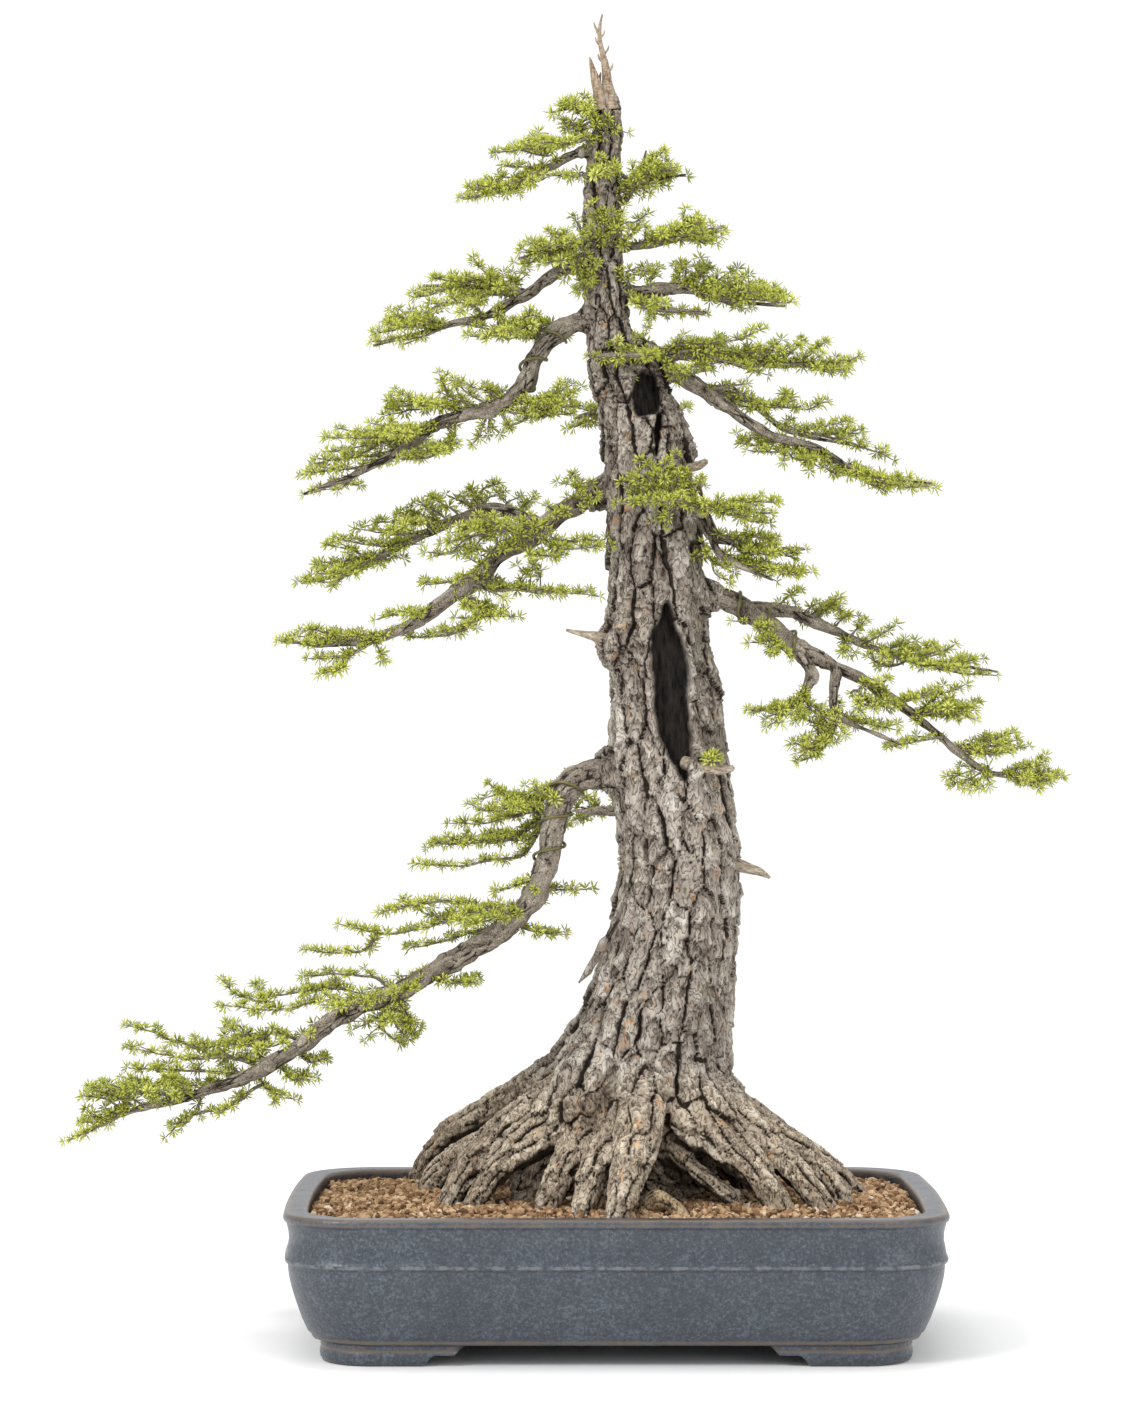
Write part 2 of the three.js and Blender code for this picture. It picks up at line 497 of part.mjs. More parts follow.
// Foliage: the spine that each pad follows, its width across the spine and its thickness.
const FOLIAGE = {
  foliage_left_low_elbow: [[[-52, -2, 299], [-78, 0, 283], [-108, 2, 266], [-146, 4, 246]], 70, 22],
  foliage_left_low_middle: [[[-66, -20, 215], [-98, -16, 216], [-150, -12, 206], [-222, -6, 184]], 76, 22],
  foliage_left_low_outer: [[[-122, -34, 158], [-170, -30, 153], [-236, -24, 139], [-300, -14, 140]], 84, 24],
  foliage_left_low_tip: [[[-232, -30, 92], [-275, -26, 97], [-337, -20, 92], [-404, -14, 50]], 74, 25],
  foliage_left_mid_upper: [[[-52, 22, 505], [-99, 26, 499], [-158, 34, 484], [-234, 40, 452]], 74, 22],
  foliage_left_mid_inner: [[[-16, -32, 468], [-44, -30, 471], [-76, -24, 469], [-112, -14, 463]], 56, 20],
  foliage_left_mid_lower: [[[-82, -14, 428], [-127, -10, 417], [-185, -6, 407], [-246, -4, 404]], 72, 20],
  foliage_left_upper_inner: [[[-38, -6, 581], [-66, -10, 577], [-98, -12, 573], [-131, -12, 563]], 72, 22],
  foliage_left_upper_outer: [
    [[-134, -12, 561], [-164, -12, 551], [-196, -12, 536], [-230, -12, 516]], 70, 22],
  foliage_left_crown_upper: [[[-62, 16, 665], [-96, 22, 667], [-130, 28, 667], [-178, 32, 667]], 60, 18],
  foliage_left_crown_lower: [[[-44, -6, 641], [-91, -2, 640], [-135, 0, 635], [-182, 0, 624]], 62, 18],
  foliage_left_top: [[[-20, -24, 697], [-36, -26, 695], [-54, -26, 691], [-76, -24, 684]], 44, 15],
  foliage_left_apex: [[[-26, -8, 757], [-50, -10, 753], [-78, -10, 745], [-112, -10, 729]], 50, 18],
  foliage_apex: [[[-14, -10, 785], [-24, -8, 790], [-36, -6, 793], [-50, -4, 794]], 34, 15],
  foliage_right_low_upper: [[[118, 12, 431], [173, 20, 417], [225, 26, 397], [286, 28, 383]], 64, 20],
  foliage_right_low_inner: [[[96, -40, 357], [116, -40, 354], [134, -40, 349], [150, -40, 342]], 48, 20],
  foliage_right_low_outer: [[[168, -16, 362], [197, -14, 354], [226, -12, 346], [262, -10, 338]], 66, 20],
  foliage_right_low_tip: [[[240, -12, 314], [268, -10, 314], [295, -10, 314], [326, -10, 310]], 54, 18],
  foliage_right_mid_upper: [[[6, -56, 508], [36, -56, 509], [72, -46, 505], [118, -30, 500]], 34, 16],
  foliage_right_mid_lower: [[[68, -32, 472], [92, -28, 468], [116, -20, 465], [144, -16, 464]], 60, 18],
  foliage_right_upper: [[[82, 2, 560], [136, 6, 555], [183, 8, 541], [236, 6, 524]], 76, 22],
  foliage_right_top: [[[24, -26, 619], [60, -20, 615], [110, -14, 613], [180, -12, 610]], 58, 18],
  foliage_right_crown: [[[22, -12, 661], [52, -10, 662], [88, -8, 658], [130, -8, 650]], 62, 20],
  foliage_right_crown_top: [[[-8, -26, 699], [16, -26, 699], [46, -22, 701], [82, -20, 707]], 46, 16],
  foliage_right_apex: [[[16, -6, 742], [28, -7, 745], [41, -8, 746], [56, -8, 747]], 34, 14],
  foliage_back_low: [[[-38, 92, 282], [-10, 92, 284], [21, 102, 291], [52, 118, 299]], 62, 22],
  foliage_back_mid: [[[-36, 112, 580], [-4, 104, 582], [18, 106, 582], [44, 118, 582]], 60, 22],
};

// A coil of training wire: the branch, where it starts and stops on it, and how many turns it takes.
const TRAINING = {
  training_wire_left_low: ['branch_left_low', 0.075, 0.2],
  training_wire_left_upper: ['branch_left_upper', 0.13, 0.33],
  training_wire_right_low: ['branch_right_low', 0.12, 0.3],
};

// The trunk's shaft: ring after ring of softly lobed ovals.
function trunkShaft(widen) {
  const [sides, steps] = [16, TRUNK_RINGS.length - 1];
  const lobes = 5;
  const geometry = new THREE.CylinderGeometry(1, 1, 1, sides, steps);
  const spots = geometry.attributes.position;
  const rings = TRUNK_RINGS.map(placed);
  const column = (index) => rings.map((ring) => ring[index]);
  const [middleX, middleY, level, halfWidth, halfDepth] = [0, 1, 2, 3, 4].map(column);
  for (let i = 0; i < spots.count; i += 1) {
    const along = spots.getY(i) + 0.5;
    const angle = Math.atan2(spots.getZ(i), spots.getX(i));
    const ripple = 1 + 0.035 * Math.sin(lobes * angle + 4 * along);
    const end = along === 0 ? -widen : widen * (along === 1);
    const x = between(middleX, along)
      + spots.getX(i) * (between(halfWidth, along) * TRUNK_THICKNESS * ripple + widen);
    const y = between(middleY, along)
      - spots.getZ(i) * (between(halfDepth, along) * TRUNK_THICKNESS * ripple + widen);
    spots.setXYZ(i, x, y, between(level, along) + end);
  }
  return toSolid(geometry);
}

function makeTrunk(widen = 0) {
  const roots = ROOTS.map((root) => limb(root.map(placedRoot), { sides: 6, steps: root.length, widen }));
  const splinters = DEAD_TOP.map((spike) => limb(spike.map(placed), { sides: 5, steps: 4, widen }));
  const hollows = HOLLOWS.map((hollow) => limb(hollow.map(placed), { sides: 7, steps: 5, widen: -widen }));
  return clearOf(joined([trunkShaft(widen), ...roots, ...splinters]), hollows);
}

function makeBranch(routes, widen = 0) {
  const limbs = routes.map((route) => limb(branchRoute(route), { sides: 5, steps: route.length, widen }));
  return joined(limbs);
}

const makeStub = (route, widen = 0) => limb(route.map(placed), { sides: 6, steps: route.length - 1, widen });

function makePad([spine, width, thickness], widen = 0) {
  return pad(spine.map(placed), width * FOLIAGE_DEPTH * GROWTH, thickness * GROWTH, widen);
}

// The helix that a training wire follows, just clear of the bark.
function coilPath([branch, start, stop]) {
  const route = branchRoute(BRANCHES[branch][0]);
  const path = pathThrough(route);
  const radii = route.map((point) => point[3]);
  const turns = (path.getLength() * (stop - start)) / WIRE_PITCH;
  const stations = Math.ceil(turns * 8);
  const frames = path.computeFrenetFrames(200, false);
  const points = [];
  for (let i = 0; i <= stations; i += 1) {
    const along = start + (stop - start) * (i / stations);
    const angle = (i / stations) * turns * Math.PI * 2;
    const frame = Math.round(along * 200);
    const reach = (between(radii, path.getUtoTmapping(along)) + TRAINING_WIRE / 2) * 1.06 + 2 * CLEARANCE;
    const point = path.getPointAt(along);
    point.addScaledVector(frames.normals[frame], Math.cos(angle) * reach);
    point.addScaledVector(frames.binormals[frame], Math.sin(angle) * reach);
    points.push(point);
  }
  return { path: new THREE.CatmullRomCurve3(points, false, 'centripetal'), steps: stations };
}

function makeCoil(training, widen = 0) {
  const { path, steps } = coilPath(training);
  return wireAlong(path, TRAINING_WIRE + 2 * widen, steps);
}

function makeSoil(cutters) {
  const lower = insideProfile(CLEARANCE, SOIL_EDGE_LEVEL);
  const edgeInset = insideInset(SOIL_EDGE_LEVEL) + CLEARANCE;
  const profile = [
    ...lower,
    [SOIL_EDGE_LEVEL + SOIL_MOUND * 0.6, edgeInset + POT_DEPTH * 0.1],
    [SOIL_LEVEL, edgeInset + POT_DEPTH * 0.22],
  ];
  return clearOf(layered(POT_WIDTH, POT_DEPTH, CORNER_RADIUS, profile), cutters);
}

// ---------------------------------------------------------------- assembly

const tree = new THREE.Group();

function addPiece(name, solid, finish) {
  const mesh = new THREE.Mesh(toGeometry(solid), new THREE.MeshStandardMaterial(FINISHES[finish]));
  mesh.name = name;
  tree.add(mesh);
}

const clips = [-1, 1].map((side) => wireAlong(clipPath(side), CLIP_WIRE, 18));
const clipRooms = [-1, 1].map((side) => wireAlong(clipPath(side), CLIP_WIRE + 2 * GAP, 18));
const tie = wireAlong(tiePath(), TIE_WIRE, 24);
const tieRoom = wireAlong(tiePath(), TIE_WIRE + 2 * GAP, 24);
const trunk = makeTrunk();
const trunkRoom = makeTrunk(GAP);

addPiece('pot', makePot(), 'glaze');
addPiece('trunk', trunk, 'bark');
addPiece('front_root', clearOf(makeStub(FRONT_ROOT), [trunkRoom]), 'root');
addPiece('tie_wire', tie, 'aluminium');
['left', 'right'].forEach((label, index) => {
  const side = index === 0 ? -1 : 1;
  addPiece(`drain_screen_${label}`, makeScreen(side, [clipRooms[index], tieRoom]), 'plasticMesh');
  addPiece(`screen_clip_${label}`, clips[index], 'aluminium');
});

const screenRooms = [-1, 1].map((side) => {
  const size = SCREEN_SIZE + 2 * GAP;
  const room = new THREE.BoxGeometry(size, size, SCREEN_THICKNESS + 2 * GAP);
  room.translate(side * DRAIN_SPACING / 2, 0, SCREEN_LEVEL + SCREEN_THICKNESS / 2);
  return toSolid(room);
});
const buried = [trunkRoom, makeStub(FRONT_ROOT, GAP), tieRoom, ...clipRooms, ...screenRooms];
addPiece('soil', makeSoil(buried), 'soil');

const taken = [trunkRoom];
for (const [name, route] of Object.entries(DEAD_STUBS)) {
  addPiece(name, clearOf(makeStub(route), taken), 'deadwood');
  taken.push(makeStub(route, GAP));
}
for (const [name, routes] of Object.entries(BRANCHES)) {
  addPiece(name, clearOf(makeBranch(routes), taken), 'twigBark');
  taken.push(makeBranch(routes, GAP));
}
for (const [name, training] of Object.entries(TRAINING)) {
  addPiece(name, clearOf(makeCoil(training), taken), 'aluminium');
  taken.push(makeCoil(training, GAP));
}
for (const [name, foliage] of Object.entries(FOLIAGE)) {
  addPiece(name, clearOf(makePad(foliage), taken), 'needles');
  taken.push(makePad(foliage, GAP));
}

// The pot and tree stand with the middle of their common box over the origin.
const extent = new THREE.Box3().setFromObject(tree);
const middle = extent.getCenter(new THREE.Vector3());
tree.position.set(-middle.x, -middle.y, -extent.min.z);
const group = new THREE.Group();
group.add(tree);

export default group;
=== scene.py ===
"""A larch bonsai in a shallow glazed pot, finished round its CAD frame.

Metres, +Z up, in the frame of the CAD model. Lengths that describe the tree are chosen in millimetres
from the middle of the pot and from the soil upwards, and are placed by the pot's and the soil's own boxes.
"""
import itertools
import logging
from dataclasses import dataclass, field
from enum import Enum
from typing import Any

import bpy
import numpy as np
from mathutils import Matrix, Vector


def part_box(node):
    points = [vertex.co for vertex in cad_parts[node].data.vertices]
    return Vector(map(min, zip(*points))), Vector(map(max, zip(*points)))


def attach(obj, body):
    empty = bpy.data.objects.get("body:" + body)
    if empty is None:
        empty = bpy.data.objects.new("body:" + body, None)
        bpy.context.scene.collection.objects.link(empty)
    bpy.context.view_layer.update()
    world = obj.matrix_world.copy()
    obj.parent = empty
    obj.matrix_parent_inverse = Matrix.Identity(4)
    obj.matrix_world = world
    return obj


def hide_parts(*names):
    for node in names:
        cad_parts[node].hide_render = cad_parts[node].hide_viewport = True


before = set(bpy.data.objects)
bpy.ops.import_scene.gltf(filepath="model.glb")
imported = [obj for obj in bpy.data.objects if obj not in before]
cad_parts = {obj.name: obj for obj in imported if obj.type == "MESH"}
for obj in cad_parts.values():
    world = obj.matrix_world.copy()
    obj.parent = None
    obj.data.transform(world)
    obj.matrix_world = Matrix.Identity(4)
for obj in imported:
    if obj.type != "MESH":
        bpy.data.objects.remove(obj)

LOG = logging.getLogger("bonsai")
MM = 0.001
GOLDEN_ANGLE = 2.39996323
GOLDEN_SHARE = 0.618034
Rows = list[tuple[float, ...]]
Colour = tuple[float, float, float]
Array = np.ndarray


def show(piece: bpy.types.Object) -> None:
    """Puts an object in the scene."""
    bpy.context.scene.collection.objects.link(piece)


# -------------------- places

@dataclass(frozen=True)
class Datum:
    """Where the pot and the soil lie in the frame, in metres."""

    left: float
    right: float
    front: float
    back: float
    top: float
    soil: float

    @classmethod
    def from_frame(cls) -> "Datum":
        """The datum as the CAD pot and soil give it."""
        low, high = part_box("pot")
        return cls(low.x, high.x, low.y, high.y, high.z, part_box("soil")[1].z)

    def pot_size(self, bow: float) -> tuple[float, float]:
        """The pot's width at its corners, where each end bows out by bow, and its depth, in millimetres."""
        return (self.right - self.left) / MM - 2 * bow, (self.back - self.front) / MM

    @property
    def middle(self) -> Array:
        """The middle of the pot at the soil's level."""
        return np.array([(self.left + self.right) / 2, (self.front + self.back) / 2, self.soil])

    def place(self, points: Array) -> Array:
        """Design millimetres, as x, y, z and any further lengths, turned to metres in the frame."""
        placed = np.asarray(points, float) * MM
        placed[..., :3] += self.middle
        return placed


# -------------------- noise

def smooth(values: Array, low: float, high: float) -> Array:
    """The soft step 3t^2 - 2t^3, with t running from 0 at low to 1 at high."""
    t = np.clip((values - low) / (high - low), 0.0, 1.0)
    return t * t * (3.0 - 2.0 * t)


def unit(rows: Array) -> Array:
    """Each row over its own length."""
    return rows / np.linalg.norm(rows, axis=1, keepdims=True)


def run_along(points: Array) -> Array:
    """The distance walked along a line of points by the time each is reached."""
    return np.concatenate([[0.0], np.cumsum(np.linalg.norm(np.diff(points, axis=0), axis=1))])


def scatter(corners: Array, seed: int) -> Array:
    """A number from 0 to 1 for each whole-number corner, the same each time: the corner's three
    numbers are multiplied by large primes, mixed bit by bit and cut to 24 bits."""
    n = corners.astype(np.int64)
    mixed = (n[..., 0] * 73856093) ^ (n[..., 1] * 19349663) ^ (n[..., 2] * 83492791) ^ (seed * 26544357)
    mixed = ((mixed ^ (mixed >> 13)) * 1274126177) & 0xFFFFFFFF
    mixed = ((mixed ^ (mixed >> 15)) * 2246822519) & 0xFFFFFFFF
    return ((mixed ^ (mixed >> 16)) & 0xFFFFFF) / float(0x1000000)


def cloud(points: Array, seed: int = 0, octaves: int = 3) -> Array:
    """Soft noise from -1 to 1: lattice values blended by a soft step along each axis, with each
    octave half as large and half as strong as the last.

    Args:
        points: N by 3 places, in lattice cells.
        seed: picks the pattern.
        octaves: how many sizes of detail are added.

    Returns:
        One value for each place.
    """
    total = np.zeros(len(points))
    weight = 0.0
    for octave in range(octaves):
        spots = points * 2.0 ** octave
        base = np.floor(spots)
        t = spots - base
        t = t * t * (3.0 - 2.0 * t)
        value = np.zeros(len(points))
        for corner in itertools.product((0, 1), repeat=3):
            share = np.prod(np.where(np.array(corner) == 1, t, 1.0 - t), axis=1)
            value += share * scatter(base + np.array(corner), seed + octave * 17)
        total += (value * 2.0 - 1.0) * 0.5 ** octave
        weight += 0.5 ** octave
    return total / weight


def plates(points: Array, seed: int = 0) -> tuple[Array, Array, Array]:
    """Cells grown from one seed point in each lattice cell.

    Args:
        points: N by 3 places, in lattice cells.
        seed: picks the pattern.

    Returns:
        How far the point lies above its nearest seed point, how much further the second nearest
        is, and a number from 0 to 1 that is the same all over one cell.
    """
    base = np.floor(points)
    nearest = np.full(len(points), 9.0)
    second = nearest.copy()
    tone = np.zeros(len(points))
    above = np.zeros(len(points))
    for step in itertools.product((-1, 0, 1), repeat=3):
        corner = base + np.array(step)
        centre = corner + np.stack([scatter(corner, seed + k) for k in (1, 2, 3)], axis=1)
        distance = np.linalg.norm(points - centre, axis=1)
        closer = distance < nearest
        second = np.where(closer, nearest, np.minimum(second, distance))
        tone = np.where(closer, scatter(corner, seed + 9), tone)
        above = np.where(closer, (points - centre)[:, 2], above)
        nearest = np.where(closer, distance, nearest)
    return above, second - nearest, tone


# -------------------- surfaces

@dataclass
class Skin:
    """A surface as arrays: its points, its faces of four and of three, and a value per point by name."""

    points: Array
    quads: Array = field(default_factory=lambda: np.zeros((0, 4), int))
    tris: Array = field(default_factory=lambda: np.zeros((0, 3), int))
    marks: dict[str, Array] = field(default_factory=dict)

    @classmethod
    def joined(cls, skins: list["Skin"]) -> "Skin":
        """Several surfaces as one, with their marks."""
        starts = np.cumsum([0] + [len(skin.points) for skin in skins[:-1]])
        names = skins[0].marks.keys()
        return cls(
            np.concatenate([skin.points for skin in skins]),
            np.concatenate([skin.quads + start for skin, start in zip(skins, starts)]),
            np.concatenate([skin.tris + start for skin, start in zip(skins, starts)]),
            {name: np.concatenate([skin.marks[name] for skin in skins]) for name in names},
        )

    def mesh(self, name: str, normals: Array | None = None) -> bpy.types.Mesh:
        """A Blender mesh with these faces, smooth shaded, and each mark as a point attribute."""
        mesh = bpy.data.meshes.new(name)
        corners = np.concatenate([self.quads.ravel(), self.tris.ravel()]).astype(np.int32)
        fours, threes = len(self.quads), len(self.tris)
        starts = np.concatenate([np.arange(fours) * 4, fours * 4 + np.arange(threes) * 3])
        mesh.vertices.add(len(self.points))
        mesh.vertices.foreach_set("co", self.points.astype(np.float32).ravel())
        mesh.loops.add(len(corners))
        mesh.loops.foreach_set("vertex_index", corners)
        mesh.polygons.add(fours + threes)
        mesh.polygons.foreach_set("loop_start", starts.astype(np.int32))
        mesh.update(calc_edges=True)
        mesh.polygons.foreach_set("use_smooth", np.ones(fours + threes, bool))
        for mark, values in self.marks.items():
            layer = mesh.attributes.new(mark, "FLOAT", "POINT")
            layer.data.foreach_set("value", values.astype(np.float32))
        if normals is not None:
            mesh.normals_split_custom_set_from_vertices(normals.astype(np.float32))
        mesh.validate(clean_customdata=False)
        return mesh


def grid_faces(rows: int, columns: int, closed: bool = True) -> Array:
    """The faces of four of a grid of points, row by row. Closed joins the last column to the first."""
    across = np.arange(columns if closed else columns - 1)
    down = np.arange(rows - 1)[:, None] * columns
    following = (across + 1) % columns
    below = down + columns
    faces = np.stack([down + across, down + following, below + following, below + across], -1)
    return faces.reshape(-1, 4)


def fan_faces(ring: Array, hub: int, outward: bool) -> Array:
    """Triangles from a ring of points to one hub point. Outward keeps the ring's own direction."""
    following = np.roll(ring, -1)
    hubs = np.full(len(ring), hub)
    pair = (ring, following) if outward else (following, ring)
    return np.stack([*pair, hubs], axis=1)


@dataclass
class Path:
    """Evenly spaced stations along a smooth curve, with a radius at each, in metres."""

    spots: Array
    radii: Array

    @classmethod
    def through(cls, rows: Array, step: float) -> "Path":
        """A curve through rows of x, y, z, radius.

        Each span is a cubic that leaves and arrives along the line between its neighbours, timed
        by the square root of the chords. The curve is then read again at even steps of its length.

        Args:
            rows: N by 4 places and radii, in metres.
            step: the spacing of the stations, in metres.

        Returns:
            The path.
        """
        rows = np.asarray(rows, float)
        chords = np.linalg.norm(np.diff(rows[:, :3], axis=0), axis=1)
        knots = np.concatenate([[0.0], np.cumsum(np.sqrt(np.maximum(chords, 1e-9)))])
        slopes = np.gradient(rows, knots, axis=0) if len(rows) > 2 else np.tile(
            (rows[1] - rows[0]) / (knots[1] - knots[0]), (2, 1))
        fine = np.linspace(0.0, knots[-1], max(24, 12 * len(rows)))
        span = np.clip(np.searchsorted(knots, fine, side="right") - 1, 0, len(rows) - 2)
        width = (knots[span + 1] - knots[span])[:, None]
        t = (fine - knots[span])[:, None] / width
        curve = ((2 * t ** 3 - 3 * t ** 2 + 1) * rows[span]
                 + (t ** 3 - 2 * t ** 2 + t) * width * slopes[span]
                 + (3 * t ** 2 - 2 * t ** 3) * rows[span + 1] + (t ** 3 - t ** 2) * width * slopes[span + 1])
        run = run_along(curve[:, :3])
        even = np.linspace(0.0, run[-1], max(3, int(round(run[-1] / step)) + 1))
        read = np.stack([np.interp(even, run, curve[:, k]) for k in range(4)], axis=1)
        return cls(read[:, :3], np.maximum(read[:, 3], 1e-5))

    @property
    def length(self) -> float:
        """The curve's length."""
        return float(np.linalg.norm(np.diff(self.spots, axis=0), axis=1).sum())

    @property
    def heading(self) -> Array:
        """The unit direction of travel at each station."""
        return unit(np.gradient(self.spots, axis=0))

    @property
    def cross(self) -> tuple[Array, Array]:
        """Two unit directions square to the path at each station: the first is square to whichever
        world axis the path follows least, and the second is square to both."""
        heading = self.heading
        least = int(np.argmin(np.abs(heading).mean(axis=0)))
        side = unit(np.cross(heading, np.eye(3)[least]))
        return side, np.cross(heading, side)

    def at(self, share: float) -> tuple[Array, Array, float]:
        """The place, heading and radius at a share of the length from 0 to 1."""
        station = share * (len(self.spots) - 1)
        low = min(int(station), len(self.spots) - 2)
        part = station - low
        place = self.spots[low] * (1 - part) + self.spots[low + 1] * part
        return place, self.heading[low], float(self.radii[low] * (1 - part) + self.radii[low + 1] * part)


def tube(path: Path, sides: int, bump: Array | None = None, marks: tuple[str, ...] = ()) -> Skin:
    """A closed tube along a path: at each station a ring of points stands off by the radius plus
    the bump, and one hub point closes each end.

    Args:
        path: the stations and radii.
        sides: points in each ring.
        bump: stations by sides, added to the radius.
        marks: names of values that start at 0 on every point.

    Returns:
        The surface, with its rings first and its two hub points last.
    """
    stations = len(path.spots)
    turn = np.linspace(0.0, 2 * np.pi, sides, endpoint=False)
    side, over = path.cross
    reach = path.radii[:, None] + (0.0 if bump is None else bump)
    ring = (side[:, None] * np.cos(turn)[:, None] + over[:, None] * np.sin(turn)[:, None]) * reach[..., None]
    points = (path.spots[:, None] + ring).reshape(-1, 3)
    ends = np.array([path.spots[0], path.spots[-1] + path.heading[-1] * path.radii[-1] * 0.6])
    count = stations * sides
    first, last = np.arange(sides), np.arange(count - sides, count)
    skin = Skin(
        np.concatenate([points, ends]),
        grid_faces(stations, sides),
        np.concatenate([fan_faces(first, count, False), fan_faces(last, count + 1, True)]),
    )
    skin.marks = {mark: np.zeros(count + 2) for mark in marks}
    return skin


def ring_places(path: Path, sides: int, grain: float) -> Array:
    """Noise places for a tube's rings: round the limb in metres, and along it shortened by grain."""
    turn = np.linspace(0.0, 2 * np.pi, sides, endpoint=False)
    run = np.linspace(0.0, path.length, len(path.spots))
    radius = path.radii[:, None]
    shape = (len(path.spots), sides)
    down = np.broadcast_to(run[:, None] * grain, shape)
    return np.stack([radius * np.cos(turn), radius * np.sin(turn), down], -1).reshape(-1, 3)


# -------------------- shader sums

class Signal:
    """A shader socket on which sums can be written. Each sum adds a Math node."""

    def __init__(self, recipe: "Recipe", socket: bpy.types.NodeSocket) -> None:
        """Wraps one output socket of a recipe's node tree."""
        self.recipe = recipe
        self.socket = socket

    def _math(self, operation: str, *values: Any) -> "Signal":
        """One Math node on the given values."""
        return self.recipe.node("ShaderNodeMath", {"operation": operation}, dict(enumerate(values)))

    def __add__(self, other: Any) -> "Signal":
        """This value plus another."""
        return self._math("ADD", self, other)

    def __radd__(self, other: Any) -> "Signal":
        """Another value plus this one."""
        return self._math("ADD", other, self)

    def __sub__(self, other: Any) -> "Signal":
        """This value less another."""
        return self._math("SUBTRACT", self, other)

    def __rsub__(self, other: Any) -> "Signal":
        """Another value less this one."""
        return self._math("SUBTRACT", other, self)

    def __mul__(self, other: Any) -> "Signal":
        """This value times another."""
        return self._math("MULTIPLY", self, other)

    def __rmul__(self, other: Any) -> "Signal":
        """Another value times this one."""
        return self._math("MULTIPLY", other, self)

    def part(self) -> "Signal":
        """What is left of this value past the last whole number."""
        return self._math("FRACT", self)

    def rise(self, low: float, high: float) -> "Signal":
        """A soft step of this value from 0 at low to 1 at high."""
        return self.recipe.node("ShaderNodeMapRange", {"interpolation_type": "SMOOTHSTEP"},
                                {0: self, 1: low, 2: high, 3: 0.0, 4: 1.0})


class Recipe:
    """A material's node tree, with one method that makes any node."""

    def __init__(self, name: str) -> None:
        """Starts an empty node tree in a new material."""
        self.material = bpy.data.materials.new(name)
        self.material.use_nodes = True
        self.nodes = self.material.node_tree.nodes
        self.links = self.material.node_tree.links
        self.nodes.clear()

    def node(self, kind: str, settings: dict[str, Any] | None = None,
             inputs: dict[int | str, Any] | None = None, output: int | str = 0) -> Signal:
        """Makes one node.

        Args:
            kind: the node's type.
            settings: its properties, set first. "stops" holds a ramp's (place, colour) pairs.
            inputs: socket index or name to a number, a colour or a Signal.
            output: the socket that the result wraps.

        Returns:
            The chosen output as a Signal.
        """
        node = self.nodes.new(kind)
        for key, value in (settings or {}).items():
            if key == "stops":
                ramp = node.color_ramp
                while len(ramp.elements) < len(value):
                    ramp.elements.new(0.5)
                for element, (place, colour) in zip(ramp.elements, value):
                    element.position = place
                    element.color = (*colour, 1.0)
            else:
                setattr(node, key, value)
        for key, value in (inputs or {}).items():
            socket = node.inputs[key]
            if isinstance(value, Signal):
                self.links.new(value.socket, socket)
            elif isinstance(value, tuple) and len(value) == 3 and socket.type == "RGBA":
                socket.default_value = (*value, 1.0)
            else:
                socket.default_value = value
        return Signal(self, node.outputs[output])

    def place(self, scale: tuple[float, float, float] = (1.0, 1.0, 1.0)) -> Signal:
        """Object coordinates stretched by a scale along each axis."""
        spot = self.node("ShaderNodeTexCoord", output="Object")
        return self.node("ShaderNodeMapping", {}, {"Vector": spot, "Scale": scale})

    def noise(self, scale: float, detail: float = 3.0, stretch: tuple[float, float, float] = (1.0, 1.0, 1.0),
              roughness: float = 0.55) -> Signal:
        """Noise from 0 to 1 on Object coordinates, scale being its cells in a metre."""
        return self.node("ShaderNodeTexNoise", {}, {
            "Vector": self.place(stretch), "Scale": scale, "Detail": detail, "Roughness": roughness}, "Fac")

    def mark(self, name: str) -> Signal:
        """A value that the mesh carries at its points."""
        return self.node("ShaderNodeAttribute", {"attribute_name": name}, output="Fac")

    def ramp(self, value: Signal, *stops: tuple[float, Colour]) -> Signal:
        """A colour read from stops along 0 to 1."""
        return self.node("ShaderNodeValToRGB", {"stops": stops}, {0: value})

    def mix(self, share: Signal | float, first: Any, second: Any, blend: str = "MIX") -> Signal:
        """Two colours mixed: first where share is 0, second where it is 1."""
        settings = {"data_type": "RGBA", "blend_type": blend}
        return self.node("ShaderNodeMix", settings, {0: share, 6: first, 7: second}, 2)

    def bump(self, height: Signal, strength: float, distance: float) -> Signal:
        """A normal bent by a height, distance being its depth in metres."""
        sockets = {"Strength": strength, "Distance": distance, "Height": height}
        return self.node("ShaderNodeBump", {}, sockets)

    def finish(self, **sockets: Any) -> bpy.types.Material:
        """Ends the tree with one principled shader. Names use _ for a space."""
        inputs = {name.replace("_", " "): value for name, value in sockets.items()}
        shader = self.node("ShaderNodeBsdfPrincipled", {}, inputs)
        output = self.nodes.new("ShaderNodeOutputMaterial")
        self.links.new(shader.socket, output.inputs["Surface"])
        return self.material

# -------------------- the tree's lines

# The trunk's rings: middle across and in depth, height, half width and half depth.
TRUNK_RINGS: Rows = [
    (24,16,-14,40,36), (24,16,0,43,38), (24,13,20,51,44), (23,9,45,63,54), (23,5,90,62,54),
    (32,2,145,53,50), (44,-1,196,46,45), (49,-3,245,44,43), (40,-2,310,43,41), (37,-1,365,40,38),
    (30,0,400,37,36), (31,0,430,36,35), (27,0,495,34,33), (23,0,550,33,31), (15,0,584,31,27),
    (5,0,608,24,21), (-4,1,632,17,17), (-9,2,680,15,15), (-9,0,735,14,14), (-5,0,775,11,10),
    (-3,0,796,10,9), (-6,0,808,6,5),
]

